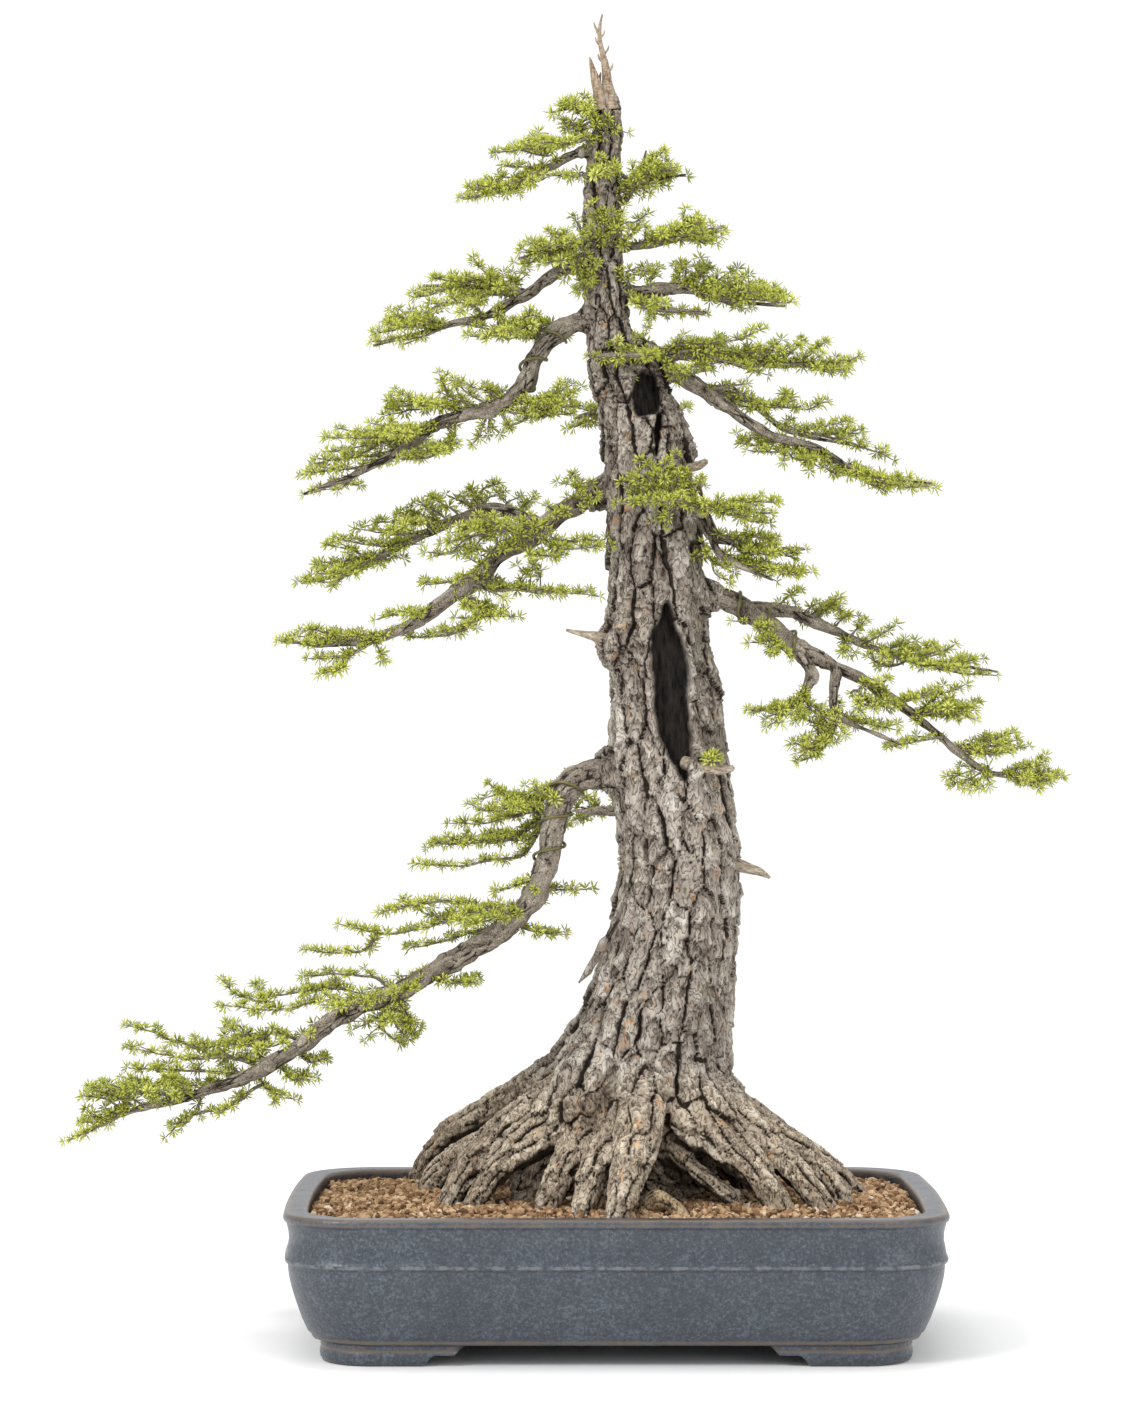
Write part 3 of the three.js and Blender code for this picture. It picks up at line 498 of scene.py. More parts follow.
# Surface roots, from inside the trunk's foot out to where they dive into the soil.
ROOTS: list[Rows] = [
    [(5,13,130,23), (-48,45,84,16), (-86,74,58,13), (-122,96,36,11), (-143,110,10,9), (-152,118,-10,7)],
    [(0,14,70,22), (-60,32,45,17), (-98,46,29,14), (-126,57,12,12), (-142,63,-10,9)],
    [(5,2,121,26), (-47,-6,68,20), (-80,-14,48,15), (-105,-24,24,12), (-126,-38,-10,7)],
    [(-11,-9,94,24), (-42,-24,60,20), (-72,-34,38,14), (-92,-42,18,10), (-108,-50,-10,7)],
    [(3,-17,78,18), (-32,-46,34,13), (-45,-56,13,11), (-54,-62,-9,8)],
    [(10,-20,82,18), (-9,-56,38,14), (-18,-72,15,12), (-26,-84,-9,8)],
    [(21,-24,100,23), (15,-64,54,18), (7,-92,24,13), (-2,-120,-10,8)],
    [(30,-20,60,13), (47,-36,34,8), (70,-42,15,7), (91,-42,0,6), (99,-42,-10,5)],
    [(40,-15,104,23), (79,-42,46,18), (101,-54,25,13), (125,-68,-10,8)],
    [(45,-4,114,21), (94,-24,54,15), (128,-42,25,11), (158,-66,-10,7)],
    [(45,7,112,19), (96,6,56,14), (139,-2,31,11), (174,-20,-10,7)],
    [(50,18,114,18), (80,30,72,15), (110,39,49,12), (142,46,28,10), (170,50,8,8), (188,52,-10,6)],
    [(38,29,109,19), (65,84,47,13), (78,108,19,10), (90,128,-10,7)],
    [(9,29,109,19), (-17,84,47,13), (-32,108,19,10), (-50,128,-10,7)],
    [(24,33,104,19), (27,90,42,13), (29,114,15,10), (30,134,-10,7)],
    [(4,30,80,22), (-38,50,46,20), (-60,58,16,16), (-70,62,-10,12)],
    [(44,30,80,20), (76,46,46,17), (96,52,16,14), (106,55,-10,10)],
    [(0,0,70,24), (-40,-10,38,20), (-58,-16,14,15), (-66,-18,-10,12)],
    [(0,-8,120,26), (-20,-28,84,25), (-34,-38,62,17)],
    [(28,-12,96,24), (48,-32,64,20), (68,-40,46,15)],
]

# The hollows on the trunk's front: height, left edge and right edge.
HOLLOWS: list[Rows] = [
    [(304,51,52), (312,46,53), (321,39,54), (338,32,54), (355,29,53), (390,26,52), (408,24,48),
     (420,30,43), (434,36,38)],
    [(568,17,27), (574,13,33), (584,12,34), (596,14,32), (604,20,28)],
    [(538,29,31), (550,28,33), (572,28,34)],
]

# The bare splinters that end the trunk, then the twig stubs on the taller one.
DEAD_TOP: list[Rows] = [
    [(-2,0,794,7), (-5,0,815,3.8), (-8,0,834,2.2), (-11,0,852,1.5), (-9,0,864,0.6)],
    [(-8,-2,794,6), (-13,-3,813,3.6), (-16,-3,824,2.2), (-18,-3,832,0.6)],
    [(-10,1,798,4), (-12,3,810,2.6), (-10,4,822,0.6)],
    [(-12,0,850,1), (-14,-1,855,0.8), (-15,-1,858,0.4)],
    [(-11,0,846,1), (-8,-1,849,0.7), (-7,-1,852,0.4)],
    [(-10,0,841,1.1), (-13,-1,844,0.8), (-14,-1,847,0.4)],
    [(-8,0,834,1.2), (-5,-1,838,0.8), (-4,-1,841,0.4)],
    [(-7,0,828,1.3), (-11,-1,832,0.9), (-12,-1,835,0.4)],
    [(-6,0,821,1.4), (-2,-1,825,0.9), (-1,-1,828,0.4)],
]

# Strips of bark that have come loose from the trunk.
LOOSE_BARK: list[Rows] = [
    [(8,-15,216,2.6), (-2,-20,197,3), (-11,-22,181,2.8), (-18,-21,169,2.2), (-26,-18,158,0.9)],
    [(72,-26,160,2.5), (76,-25,150,2.4), (80,-24,138,1)],
    [(60,-28,520,2), (63,-27,510,2), (66,-26,500,0.8)],
]

FRONT_ROOT: Rows = [(14,-73,-8,5), (22,-77,4,6), (31,-82,8,6.5), (41,-86,4,6), (50,-91,-9,5)]

STUBS: dict[str, Rows] = {
    "jin_left": [(3,-8,406,6.6), (-8,-12,407,5.5), (-16,-16,410,3.6), (-25,-16,412,2.2),
                 (-35,-17,414,1)],
    "jin_right_upper": [(48,-6,531,4.6), (61,-8,534,3.4), (67,-9,537,2.4)],
    "jin_right_collar": [(50,-32,318,5), (63,-42,315,4.4), (74,-44,313,3.8), (85,-44,314,2.4)],
    "jin_right_low": [(78,-8,248,7), (97,-10,241,4), (106,-10,238,2.9), (113,-10,234,1.2)],
}

# The tuft of needles at the cut stub: places, and the way each rosette faces.
STUB_TUFT: Rows = [
    (67,-48,321,-0.5,-0.6,0.7), (70,-47,323,0.1,-0.5,1.0), (73,-46,322,0.7,-0.4,0.7),
    (69,-49,320,0.0,-1.0,0.3),
]

# Each branch is a main limb and its forks, from inside the trunk to the last twig.
BRANCHES: dict[str, list[Rows]] = {
    "left_low": [
        [(3,-4,313,11), (-22,-12,308,10.2), (-37,-21,295,9.8), (-44,-26,272,9), (-50,-30,243,8.7),
         (-61,-32,218,8.3), (-83,-33,196,8.3), (-119,-34,174,7.6), (-155,-34,154,6.9), (-199,-34,134,6.1),
         (-232,-32,110,5.8), (-270,-28,89,4.7), (-313,-22,75,3.6), (-353,-18,64,2.3), (-394,-14,45,1.2)],
    ],
    "left_mid": [
        [(0,5,519,8.8), (-28,10,507,7.7), (-58,8,484,7), (-78,4,473,6.6), (-107,-4,447,5.8),
         (-151,-6,417,4.4), (-169,-6,410,3.6), (-210,-4,404,2.2), (-243,-2,406,1.2)],
        [(-51,10,490,5.9), (-71,16,499,5.1), (-87,20,503,4.8), (-134,32,488,3.7), (-165,36,474,3),
         (-194,38,458,2.2), (-231,40,450,1.2)],
    ],
    "left_upper": [
        [(-10,4,645,8), (-30,0,637,7.3), (-45,-6,628,7.3), (-58,-10,613,6.9), (-63,-12,597,6.7),
         (-78,-12,581,6.5), (-98,-12,573,5.8), (-129,-12,564,5.1), (-150,-12,550,4), (-175,-12,534,2.9),
         (-226,-12,513,1.1)],
    ],
    "left_crown": [
        [(-12,4,686,5.9), (-40,8,678,5.1), (-65,8,660,4.4), (-101,4,642,3.3), (-125,2,636,2.3),
         (-176,0,622,1)],
        [(-62,8,661,3), (-75,14,665,2.6), (-92,22,667,2.2), (-141,32,669,1)],
    ],
    "left_top": [
        [(-9,-8,697,3.3), (-24,-16,694,2.9), (-40,-20,691,2.3), (-70,-22,683,1)],
    ],
    "left_apex": [
        [(-9,0,767,4.4), (-30,-6,761,3.6), (-49,-10,750,2.9), (-86,-10,733,1.6), (-110,-10,728,0.9)],
    ],
    "apex": [
        [(-6,-1,787,3.3), (-16,-2,790,2.9), (-24,-2,795,2.2), (-46,-2,792,0.9)],
    ],
    "right_low": [
        [(52,4,443,9.1), (80,0,437,8), (97,-4,428,7.7), (115,-8,417,7.3), (129,-10,404,6.9),
         (150,-10,393,5.5), (182,-10,377,4.4), (221,-10,350,3.3), (258,-10,319,2.5), (274,-10,310,1.9),
         (322,-10,308,1)],
        [(95,0,431,5.1), (121,8,429,4.8), (156,18,417,3.7), (195,22,400,2.5), (282,26,384,1)],
        [(135,-10,397,5.1), (142,-22,382,4.7), (138,-30,370,4.3), (131,-34,360,2.9), (99,-38,356,1)],
        [(151,-10,393,4.4), (160,-14,385,4.4), (159,-20,371,3.6), (159,-24,358,3.3), (169,-26,348,2.3),
         (205,-28,332,1)],
    ],
    "right_mid": [
        [(50,-10,503,7.4), (63,-18,498,6.2), (72,-20,483,4.7), (96,-16,475,2.9), (138,-12,473,1)],
        [(70,-20,484,3.6), (73,-26,472,3.3), (90,-32,460,2.2), (114,-32,450,0.9)],
        [(64,-20,498,3.2), (57,-38,505,2.4), (34,-50,507,1.6), (3,-52,504,0.9)],
    ],
    "right_upper": [
        [(26,4,609,8), (47,2,600,6.6), (61,0,592,5.5), (86,-3,574,4.5), (113,-5,557,3.6), (147,-6,547,2.9),
         (181,-6,528,2), (231,-6,521,0.9)],
        [(60,1,592,4), (72,8,591,3.4), (100,18,583,2.9), (123,22,564,2.1), (184,26,549,0.9)],
    ],
    "right_top": [
        [(12,-4,620,6), (35,-12,617,4.7), (71,-12,612,3.6), (121,-12,607,2.6), (176,-12,610,0.9)],
        [(29,-10,618,3.2), (18,-30,612,2.2), (-2,-38,612,1.4), (-15,-38,611,0.9)],
    ],
    "right_crown": [
        [(-4,2,663,6.2), (14,-2,661,5.5), (51,-8,663,3.6), (88,-8,654,2.3), (125,-8,650,0.9)],
        [(12,-2,660,3.2), (24,-16,649,2.3), (66,-26,644,0.9)],
    ],
    "right_crown_top": [
        [(-5,-5,694,4.4), (13,-14,693,3.6), (39,-20,696,2.5), (79,-20,707,0.9)],
    ],
    "right_apex": [
        [(-7,2,727,3.7), (6,0,728,3.3), (14,-4,738,2.9), (26,-6,742,1.9), (52,-8,746,0.9)],
        [(13,-4,737,2.2), (18,-4,745,1.9), (23,-4,764,0.8)],
    ],
    "back_low": [
        [(26,26,291,7), (20,50,286,5.6), (7,66,281,4.5), (-10,78,280,3), (-30,90,280,1)],
        [(19,51,286,4.5), (20,80,289,3.8), (30,104,296,2.6), (42,124,300,1.5)],
    ],
    "back_mid": [
        [(24,18,563,6.6), (20,46,569,5.6), (14,70,574,4.5), (21,96,577,3), (32,122,579,1.5)],
        [(15,68,574,3.9), (-1,88,576,3), (-17,104,579,2.3), (-29,116,577,1.2)],
    ],
}

# Training wire: the branch it is wound on and where it starts and stops, as shares of the limb.
WIRED: dict[str, tuple[float, float]] = {
    "left_low": (0.075, 0.2), "left_upper": (0.13, 0.33), "right_low": (0.12, 0.3),
}


@dataclass(frozen=True)
class Spray:
    """One pad of foliage: its name, its depth, and each twig's places, across and upwards in turn."""

    name: str
    depth: float
    twigs: Rows


SPRAYS: list[Spray] = [
    Spray("left_low_elbow", -6, [
        (-36,305,-58,295,-75,291,-91,302), (-55,285,-73,279,-95,273,-121,273),
        (-54,268,-66,251,-91,246,-110,242,-146,244), (-62,291,-80,295,-98,291),
        (-69,262,-91,259,-116,261,-138,255), (-49,225,-36,225,-16,226),
    ]),
    Spray("left_low_middle", -18, [
        (-62,217,-73,211,-125,202,-143,197,-169,194,-199,201), (-120,203,-141,210,-152,218),
        (-174,190,-184,181,-206,180,-223,182), (-83,210,-105,215,-127,217,-170,210),
        (-69,199,-51,194,-36,193), (-83,201,-105,194,-134,186,-149,183), (-58,234,-69,230,-85,224),
    ]),
    Spray("left_low_outer", -28, [
        (-127,170,-181,147,-211,146,-244,140,-285,143), (-251,143,-275,150,-286,160),
        (-167,159,-177,163,-201,165,-221,163), (-151,150,-167,136,-189,126), (-153,147,-153,132,-145,120),
        (-167,136,-167,125,-155,115), (-137,163,-120,159,-100,160), (-192,154,-213,154,-235,151,-255,147),
        (-199,133,-213,126,-223,117),
    ]),
    Spray("left_low_tip", -22, [
        (-224,112,-244,123,-259,117,-285,113), (-256,102,-264,119,-296,111,-325,116,-336,121,-357,126),
        (-264,92,-298,94,-327,95,-353,96), (-231,109,-221,101,-209,105), (-257,87,-245,76,-231,73),
        (-257,84,-272,73,-286,66,-296,65,-313,59,-325,47), (-313,75,-333,78,-351,82),
        (-353,65,-373,61,-384,66), (-353,65,-373,54,-393,46), (-293,80,-312,85,-330,85),
        (-322,73,-340,84,-358,90), (-340,69,-358,79,-376,84), (-352,65,-368,73,-386,76),
        (-306,77,-318,88,-334,96), (-300,76,-306,62,-315,52),
    ]),
    Spray("left_mid_upper", 26, [
        (-93,503,-97,508,-97,518,-85,522), (-102,500,-105,505,-124,515), (-121,491,-128,501,-146,508),
        (-133,487,-141,494,-156,494,-174,494), (-152,480,-163,477,-184,478,-206,484),
        (-179,467,-192,473,-211,477), (-179,467,-192,458,-206,450,-231,450),
        (-165,473,-176,470,-194,466,-213,463), (-18,514,-23,520,-32,525), (-69,499,-80,508,-69,514),
    ]),
    Spray("left_mid_inner", -22, [
        (-40,498,-53,487,-50,475,-27,473,-3,475), (-96,461,-101,454,-122,449,-140,449),
        (-53,484,-72,477,-87,471,-105,473), (-72,477,-61,469,-43,466), (-87,482,-108,480,-118,471,-132,468),
        (-60,487,-80,490,-100,488,-118,484), (-68,480,-84,488,-98,496), (-22,508,-30,518,-42,522),
    ]),
    Spray("left_mid_lower", -8, [
        (-104,448,-89,443,-70,444,-45,441,-11,439), (-70,444,-67,457), (-54,443,-54,457),
        (-116,439,-97,425,-70,424), (-105,437,-91,428,-102,420,-117,412,-140,409,-160,412),
        (-151,417,-175,406,-194,395,-223,393), (-193,397,-201,386,-213,382), (-178,409,-170,397,-170,393),
        (-169,410,-193,408,-209,403,-244,406), (-196,404,-218,415,-229,414), (-134,428,-156,426,-174,422),
    ]),
    Spray("left_upper_inner", -12, [
        (-99,574,-120,585,-128,600), (-80,579,-83,582,-94,589,-104,592),
        (-99,572,-129,577,-147,574,-167,570), (-134,576,-144,580,-163,580),
        (-80,577,-75,578,-56,580,-37,590,-35,595), (-83,574,-77,563,-60,569,-31,571),
        (-51,569,-40,579,-31,585), (-91,574,-99,556,-103,550), (-116,567,-117,554,-129,546,-150,540),
    ]),
    Spray("left_upper_outer", -12, [
        (-129,564,-142,560,-163,558,-182,557,-201,560), (-142,553,-150,553,-178,549,-210,545),
        (-163,542,-174,535,-198,531,-229,527), (-117,550,-129,542,-138,539,-156,537),
        (-190,525,-208,518,-227,513), (-152,549,-167,550,-185,542,-203,539),
    ]),
    Spray("left_crown_upper", 22, [
        (-76,659,-77,666,-87,670,-94,677,-102,684,-103,687), (-85,667,-94,669,-109,667,-126,666,-141,667),
        (-94,670,-107,673,-120,675), (-73,660,-89,661,-98,658,-121,664), (-72,659,-76,671,-76,678),
        (-121,666,-135,661,-146,659),
    ]),
    Spray("left_crown_lower", 0, [
        (-127,637,-134,640,-149,637,-164,632,-176,632), (-138,636,-145,643,-149,648),
        (-146,638,-158,642,-167,639), (-98,643,-103,651,-123,652,-131,649,-141,643),
        (-84,648,-83,632,-65,635,-49,640,-40,639), (-100,642,-107,640,-101,636,-83,632),
        (-49,638,-83,631,-94,626,-105,626), (-43,634,-55,628,-75,628),
        (-127,634,-143,628,-162,625,-176,624),
    ]),
    Spray("left_top", -24, [
        (-27,692,-35,695,-46,700,-46,702), (-29,692,-43,687,-59,682,-73,682), (-40,690,-53,692,-63,695),
        (-35,687,-35,683,-49,679), (-18,681,-17,672,-24,660), (-22,695,-25,704,-31,713),
    ]),
    Spray("left_apex", -10, [
        (-18,767,-22,773,-43,765,-64,763,-87,761), (-51,765,-54,767,-60,774),
        (-40,756,-49,753,-66,751,-81,752), (4,746,-6,754,-13,747,-32,743,-46,743,-54,739,-63,736),
        (-69,740,-80,744,-94,741), (-40,756,-49,751,-67,741,-86,732,-112,728), (-83,735,-94,734,-105,735),
    ]),
    Spray("apex", -8, [
        (-16,788,-23,792,-34,794,-44,790), (-24,794,-24,798,-22,803), (-18,787,-29,782,-40,787),
        (-11,784,-16,779,-23,780), (-7,787,-2,781,1,773), (-8,788,-11,781,-15,775),
    ]),
    Spray("right_apex", -6, [
        (11,731,21,750,24,755,35,761), (19,749,27,750,36,752), (5,736,18,740,26,742,40,744,53,745),
        (4,732,15,739,24,732), (12,732,4,740,-2,743),
    ]),
    Spray("right_crown_top", -24, [
        (-9,697,-9,716,-14,723), (-2,693,-11,699,-18,703), (-5,693,5,708,16,710,23,716),
        (44,697,49,707,59,713), (24,693,40,698,57,700,67,702,80,705), (54,699,65,694,73,693),
        (18,693,29,700,39,703), (-6,692,-2,703,2,710),
    ]),
    Spray("right_crown", -10, [
        (10,666,9,675,24,675), (42,664,46,671,44,680), (51,665,59,674,59,679), (51,665,59,668,69,676),
        (64,659,88,666,99,674), (73,658,93,661,115,663), (51,665,64,659,82,655,105,652,123,650,128,651),
        (10,658,17,654,30,648,48,645,67,645), (18,654,23,651,27,643), (91,654,109,658,122,657),
    ]),
    Spray("right_top", -18, [
        (29,614,9,611,-7,610,-19,611), (22,614,18,625,14,628), (18,612,14,607,13,598),
        (38,616,43,620,71,622,91,625,108,632), (55,615,71,613,86,607,112,600),
        (105,608,129,607,155,607,177,610), (134,607,146,604,165,600), (98,608,108,611,121,625),
        (124,607,137,611,153,622), (36,611,40,601,71,604), (84,610,102,617,116,617),
    ]),
    Spray("right_upper", -2, [
        (71,590,85,591,95,585,106,578,122,577,138,575,154,580), (110,577,123,578,130,585),
        (103,578,118,566,130,561,152,556,173,551,190,545,204,539), (154,556,170,559,179,560),
        (109,559,95,554,90,558), (132,554,122,545,97,545), (122,554,130,540,139,537),
        (138,550,152,534,161,529), (161,537,171,528,181,526), (178,532,195,523,216,520,235,520),
        (172,535,185,521,197,517), (135,560,154,563,168,565),
    ]),
    Spray("right_mid_upper", -46, [
        (61,502,39,506,29,509,19,505,1,504), (18,506,10,517,5,521), (29,508,24,523,18,527),
        (41,507,34,528,38,535), (57,504,54,514,61,522), (47,504,39,499,38,488),
        (65,502,80,504,100,504,115,504), (61,500,67,502,84,496,99,492,111,491),
    ]),
    Spray("right_mid_lower", -22, [
        (74,483,90,479,106,472,122,469,138,472), (64,470,55,466,47,466),
        (62,477,66,469,76,461,96,464,104,456,117,450), (96,464,106,458,128,455,142,456),
        (83,480,102,482,116,479), (70,466,73,455,83,450),
    ]),
    Spray("right_low_upper", 20, [
        (137,419,138,425,148,435), (148,421,160,435,172,427), (170,408,177,414,185,422),
        (196,400,206,402,220,406), (206,396,229,394,248,401), (214,391,202,388,186,394),
        (170,410,168,405,172,397), (188,402,206,396,232,388,256,383,282,381), (117,429,126,438,133,444),
        (240,388,258,392,273,394),
    ]),
    Spray("right_low_inner", -36, [
        (136,367,123,358,99,355), (136,371,136,353,156,341,161,334), (161,350,157,338,149,327,133,318),
        (151,339,143,329,128,332), (103,414,110,404,98,405), (110,408,119,402,126,393),
        (130,364,119,350,108,344),
    ]),
    Spray("right_low_outer", -16, [
        (161,364,162,353,167,348,188,345,203,341), (182,375,191,372,199,379), (220,350,234,366,250,371),
        (218,351,233,355,257,350), (236,353,256,356,265,361), (238,337,229,335,210,332,198,329),
        (203,361,218,364,233,371), (176,371,185,361,200,357),
    ]),
    Spray("right_low_tip", -10, [
        (248,326,253,329,274,334,290,339), (255,323,265,326,283,325,297,329), (273,315,262,313,247,307),
        (270,313,265,304,259,299), (284,309,291,313,313,318), (288,308,299,302,310,300),
        (283,309,305,304,323,307),
    ]),
    Spray("back_low", 104, [
        (-10,280,-21,289,-31,292), (-10,280,-22,275,-32,272), (21,289,36,296,51,302),
        (28,290,40,289,51,284), (9,284,0,292,-10,296),
    ]),
    Spray("back_mid", 108, [
        (0,578,-17,582,-31,585), (15,576,21,584,30,590), (31,578,44,581,56,585), (-9,578,-21,573,-29,569),
        (21,578,32,572,42,569),
    ]),
]

# -------------------- finishes

def paint(red: float, green: float, blue: float) -> Colour:
    """A colour given as display values 0 to 255, in linear light."""
    values = np.array([red, green, blue]) / 255
    linear = np.where(values <= 0.04045, values / 12.92, ((values + 0.055) / 1.055) ** 2.4)
    return tuple(float(value) for value in linear)


@dataclass(frozen=True)
class Glaze:
    """A satin blue-grey stoneware glaze that breaks to brown where it is thin."""

    deep: Colour = paint(40, 47, 57)
    body: Colour = paint(53, 60, 70)
    milk: Colour = paint(78, 86, 95)
    thin: Colour = paint(100, 86, 74)

    def material(self) -> bpy.types.Material:
        """Cloudy blue-grey with fine pale specks, a pale painted highlight along the ridge round the pot, a
        brown line on edges, and a faint orange-peel bump.
        """
        recipe = Recipe("glaze")
        cloudy = (recipe.noise(20, 4) * 0.22 + recipe.noise(120, 4, (1, 1, 0.6)) * 0.2
                  + recipe.noise(400, 3) * 0.58)
        base = recipe.ramp(cloudy, (0.38, self.deep), (0.5, self.body), (0.62, self.milk))
        speck = recipe.noise(700, 2).rise(0.58, 0.7)
        dark_speck = recipe.noise(560, 2, (1.1, 0.9, 1)).rise(0.55, 0.68)
        base = recipe.mix(speck * 0.35, base, paint(120, 126, 132))
        base = recipe.mix(dark_speck * 0.6, base, paint(32, 36, 42))
        # Where the edge mark falls below zero, along the raised ridge round the pot, a pale line broken by
        # noise is mixed in: a painted highlight.
        painted_ridge_highlight = ((0 - recipe.mark("edge")) * 1.1 + recipe.noise(130, 3) * 2.2 - 1.7).rise(0.1, 0.6)
        base = recipe.mix(painted_ridge_highlight * 0.42, base, paint(132, 136, 138))
        worn = (recipe.mark("edge") + recipe.noise(90, 4) * 0.7 - 0.35).rise(0.35, 0.85)
        base = recipe.mix(worn * 0.8, base, self.thin)
        rough = recipe.noise(60, 3) * 0.18 + 0.34
        height = recipe.noise(330, 3) * 0.6 + recipe.noise(70, 2) * 0.4
        return recipe.finish(Base_Color=base, Roughness=rough, Coat_Weight=0.25, Coat_Roughness=0.25,
                             Normal=recipe.bump(height, 0.6, 0.0016))


@dataclass(frozen=True)
class Bark:
    """Old flaking bark: pale plates over cracks darkened with painted shade, with fresh orange flakes and a
    charcoal hollow.
    """

    name: str
    dark: Colour
    body: Colour
    light: Colour
    pale: Colour
    flake: Colour = paint(196, 142, 84)
    char: Colour = paint(54, 49, 46)
    root_tint: Colour = (1.28, 1.19, 1.03)
    flakes: float = 0.5
    layer_scale: float = 75.0
    layers: float = 11.0
    layer_depth: float = 0.011
    grain: float = 0.5

    def material(self) -> bpy.types.Material:
        """Thin curling layers over each plate's own tone, with a painted shadow under each layer's edge, a
        painted highlight on its rim, and painted shade where the crack mark lies.

        The layers are the steps of a staircase laid over soft noise: the noise is multiplied by the
        number of layers, and what is left past each whole number tells how near a layer's edge is.
        """
        recipe = Recipe(self.name)
        relief = recipe.noise(self.layer_scale, 4, (1, 1, self.grain), 0.52)
        stair = relief * self.layers
        tread = stair.part()
        # under darkens each layer next to its edge: a painted shadow under the flake's edge.
        under = 1 - tread.rise(0.0, 0.4)
        streak = recipe.noise(240, 4, (1, 1, 0.4), 0.6)
        # tread lightens each layer towards its other edge: a painted highlight on the flake rims.
        tone = recipe.mark("tone") * 0.5 + streak * 0.3 + tread * 0.2
        base = recipe.ramp(tone, (0.2, self.dark), (0.36, self.body), (0.56, self.light), (0.76, self.pale))
        warm = recipe.noise(120, 3, (1, 1, 0.6)).rise(0.62, 0.7) * (1 - recipe.mark("crack"))
        base = recipe.mix(warm * self.flakes, base, self.flake)
        stain = recipe.noise(20, 4).rise(0.45, 0.7)
        base = recipe.mix(stain * 0.45, base, self.body)
        base = recipe.mix(recipe.mark("pale"), base, self.root_tint, "MULTIPLY")
        base = recipe.mix(under * 0.62, base, self.dark)
        # The crack mark and fine noise darken the bark: painted shade in the cracks, on the step risers,
        # under the flake edges and under the roots near the soil, with some soil staining there.
        shadow = (recipe.mark("crack") * 1.2 + recipe.noise(420, 3) * 0.4 - 0.2).rise(0.12, 0.8)
        base = recipe.mix(shadow * 0.94, base, self.dark)
        coal = recipe.noise(330, 4, (1, 1, 0.22))
        charred = recipe.ramp(coal, (0.35, paint(20, 18, 17)), (0.68, self.char))
        base = recipe.mix(recipe.mark("hollow"), base, charred)
        height = (stair - tread * 0.8) * (1 / self.layers) + recipe.noise(900, 4, (1, 1, 0.5)) * 0.1
        return recipe.finish(Base_Color=base, Roughness=0.92, Specular_IOR_Level=0.15,
                             Normal=recipe.bump(height, 1.0, self.layer_depth))


@dataclass(frozen=True)
class Deadwood:
    """Bare weathered wood, silver with fine dark checks along the grain."""

    def material(self) -> bpy.types.Material:
        """Silver and tan streaks along the piece's own run."""
        recipe = Recipe("deadwood")
        grain = recipe.noise(700, 4, (0.35, 1, 1))
        base = recipe.ramp(grain, (0.3, paint(104, 88, 70)), (0.5, paint(166, 154, 136)),
                           (0.7, paint(200, 193, 178)))
        # The crack mark darkens the checks: painted shade in the recessed cracks.
        base = recipe.mix(recipe.mark("crack"), base, paint(60, 48, 38))
        base = recipe.mix(recipe.mark("tone") * 0.8, base, paint(150, 112, 78))
        return recipe.finish(Base_Color=base, Roughness=0.8, Specular_IOR_Level=0.25,
                             Normal=recipe.bump(grain, 0.6, 0.0008))


@dataclass(frozen=True)
class Needles:
    """Young larch needles, yellow-green with duller bases and browner tips."""

    def material(self) -> bpy.types.Material:
        """Green by rosette, duller at each needle's base and browner at its tip."""
        recipe = Recipe("larch_needles")
        tone = recipe.mark("tone")
        base = recipe.ramp(tone, (0.0, paint(152, 160, 58)), (0.5, paint(191, 197, 80)),
                           (1.0, paint(216, 220, 112)))
        along = recipe.mark("along")
        base = recipe.mix((1 - along).rise(0.6, 1.0) * 0.5, base, paint(112, 112, 52))
        base = recipe.mix(along.rise(0.6, 1.0) * 0.65, base, paint(112, 104, 60))
        return recipe.finish(Base_Color=base, Roughness=0.55, Specular_IOR_Level=0.35)


@dataclass(frozen=True)
class Grains:
    """Hard-baked clay grains, each its own tan or brown."""

    def material(self) -> bpy.types.Material:
        """Colour by grain, with a fine dusty mottle."""
        recipe = Recipe("soil_grains")
        tone = recipe.mark("tone")
        base = recipe.ramp(tone, (0.0, paint(62, 44, 30)), (0.3, paint(134, 103, 74)),
                           (0.6, paint(184, 149, 112)), (0.93, paint(222, 194, 158)),
                           (1.0, paint(236, 226, 210)))
        base = recipe.mix(recipe.noise(900, 3).rise(0.35, 0.7) * 0.35, base, paint(96, 72, 50))
        return recipe.finish(Base_Color=base, Roughness=0.95, Specular_IOR_Level=0.2,
                             Normal=recipe.bump(recipe.noise(1500, 3), 0.6, 0.0006))


@dataclass(frozen=True)
class Wire:
    """Aluminium wire, bare or anodised, dulled by weather."""

    name: str
    clean: Colour
    dull: Colour

    def material(self) -> bpy.types.Material:
        """Metal mottled with a dull green-brown film."""
        recipe = Recipe(self.name)
        film = recipe.noise(260, 4).rise(0.4, 0.62)
        base = recipe.mix(film, self.clean, self.dull)
        return recipe.finish(Base_Color=base, Metallic=0.75 - film * 0.5, Roughness=film * 0.3 + 0.38,
                             Normal=recipe.bump(film, 0.2, 0.0003))


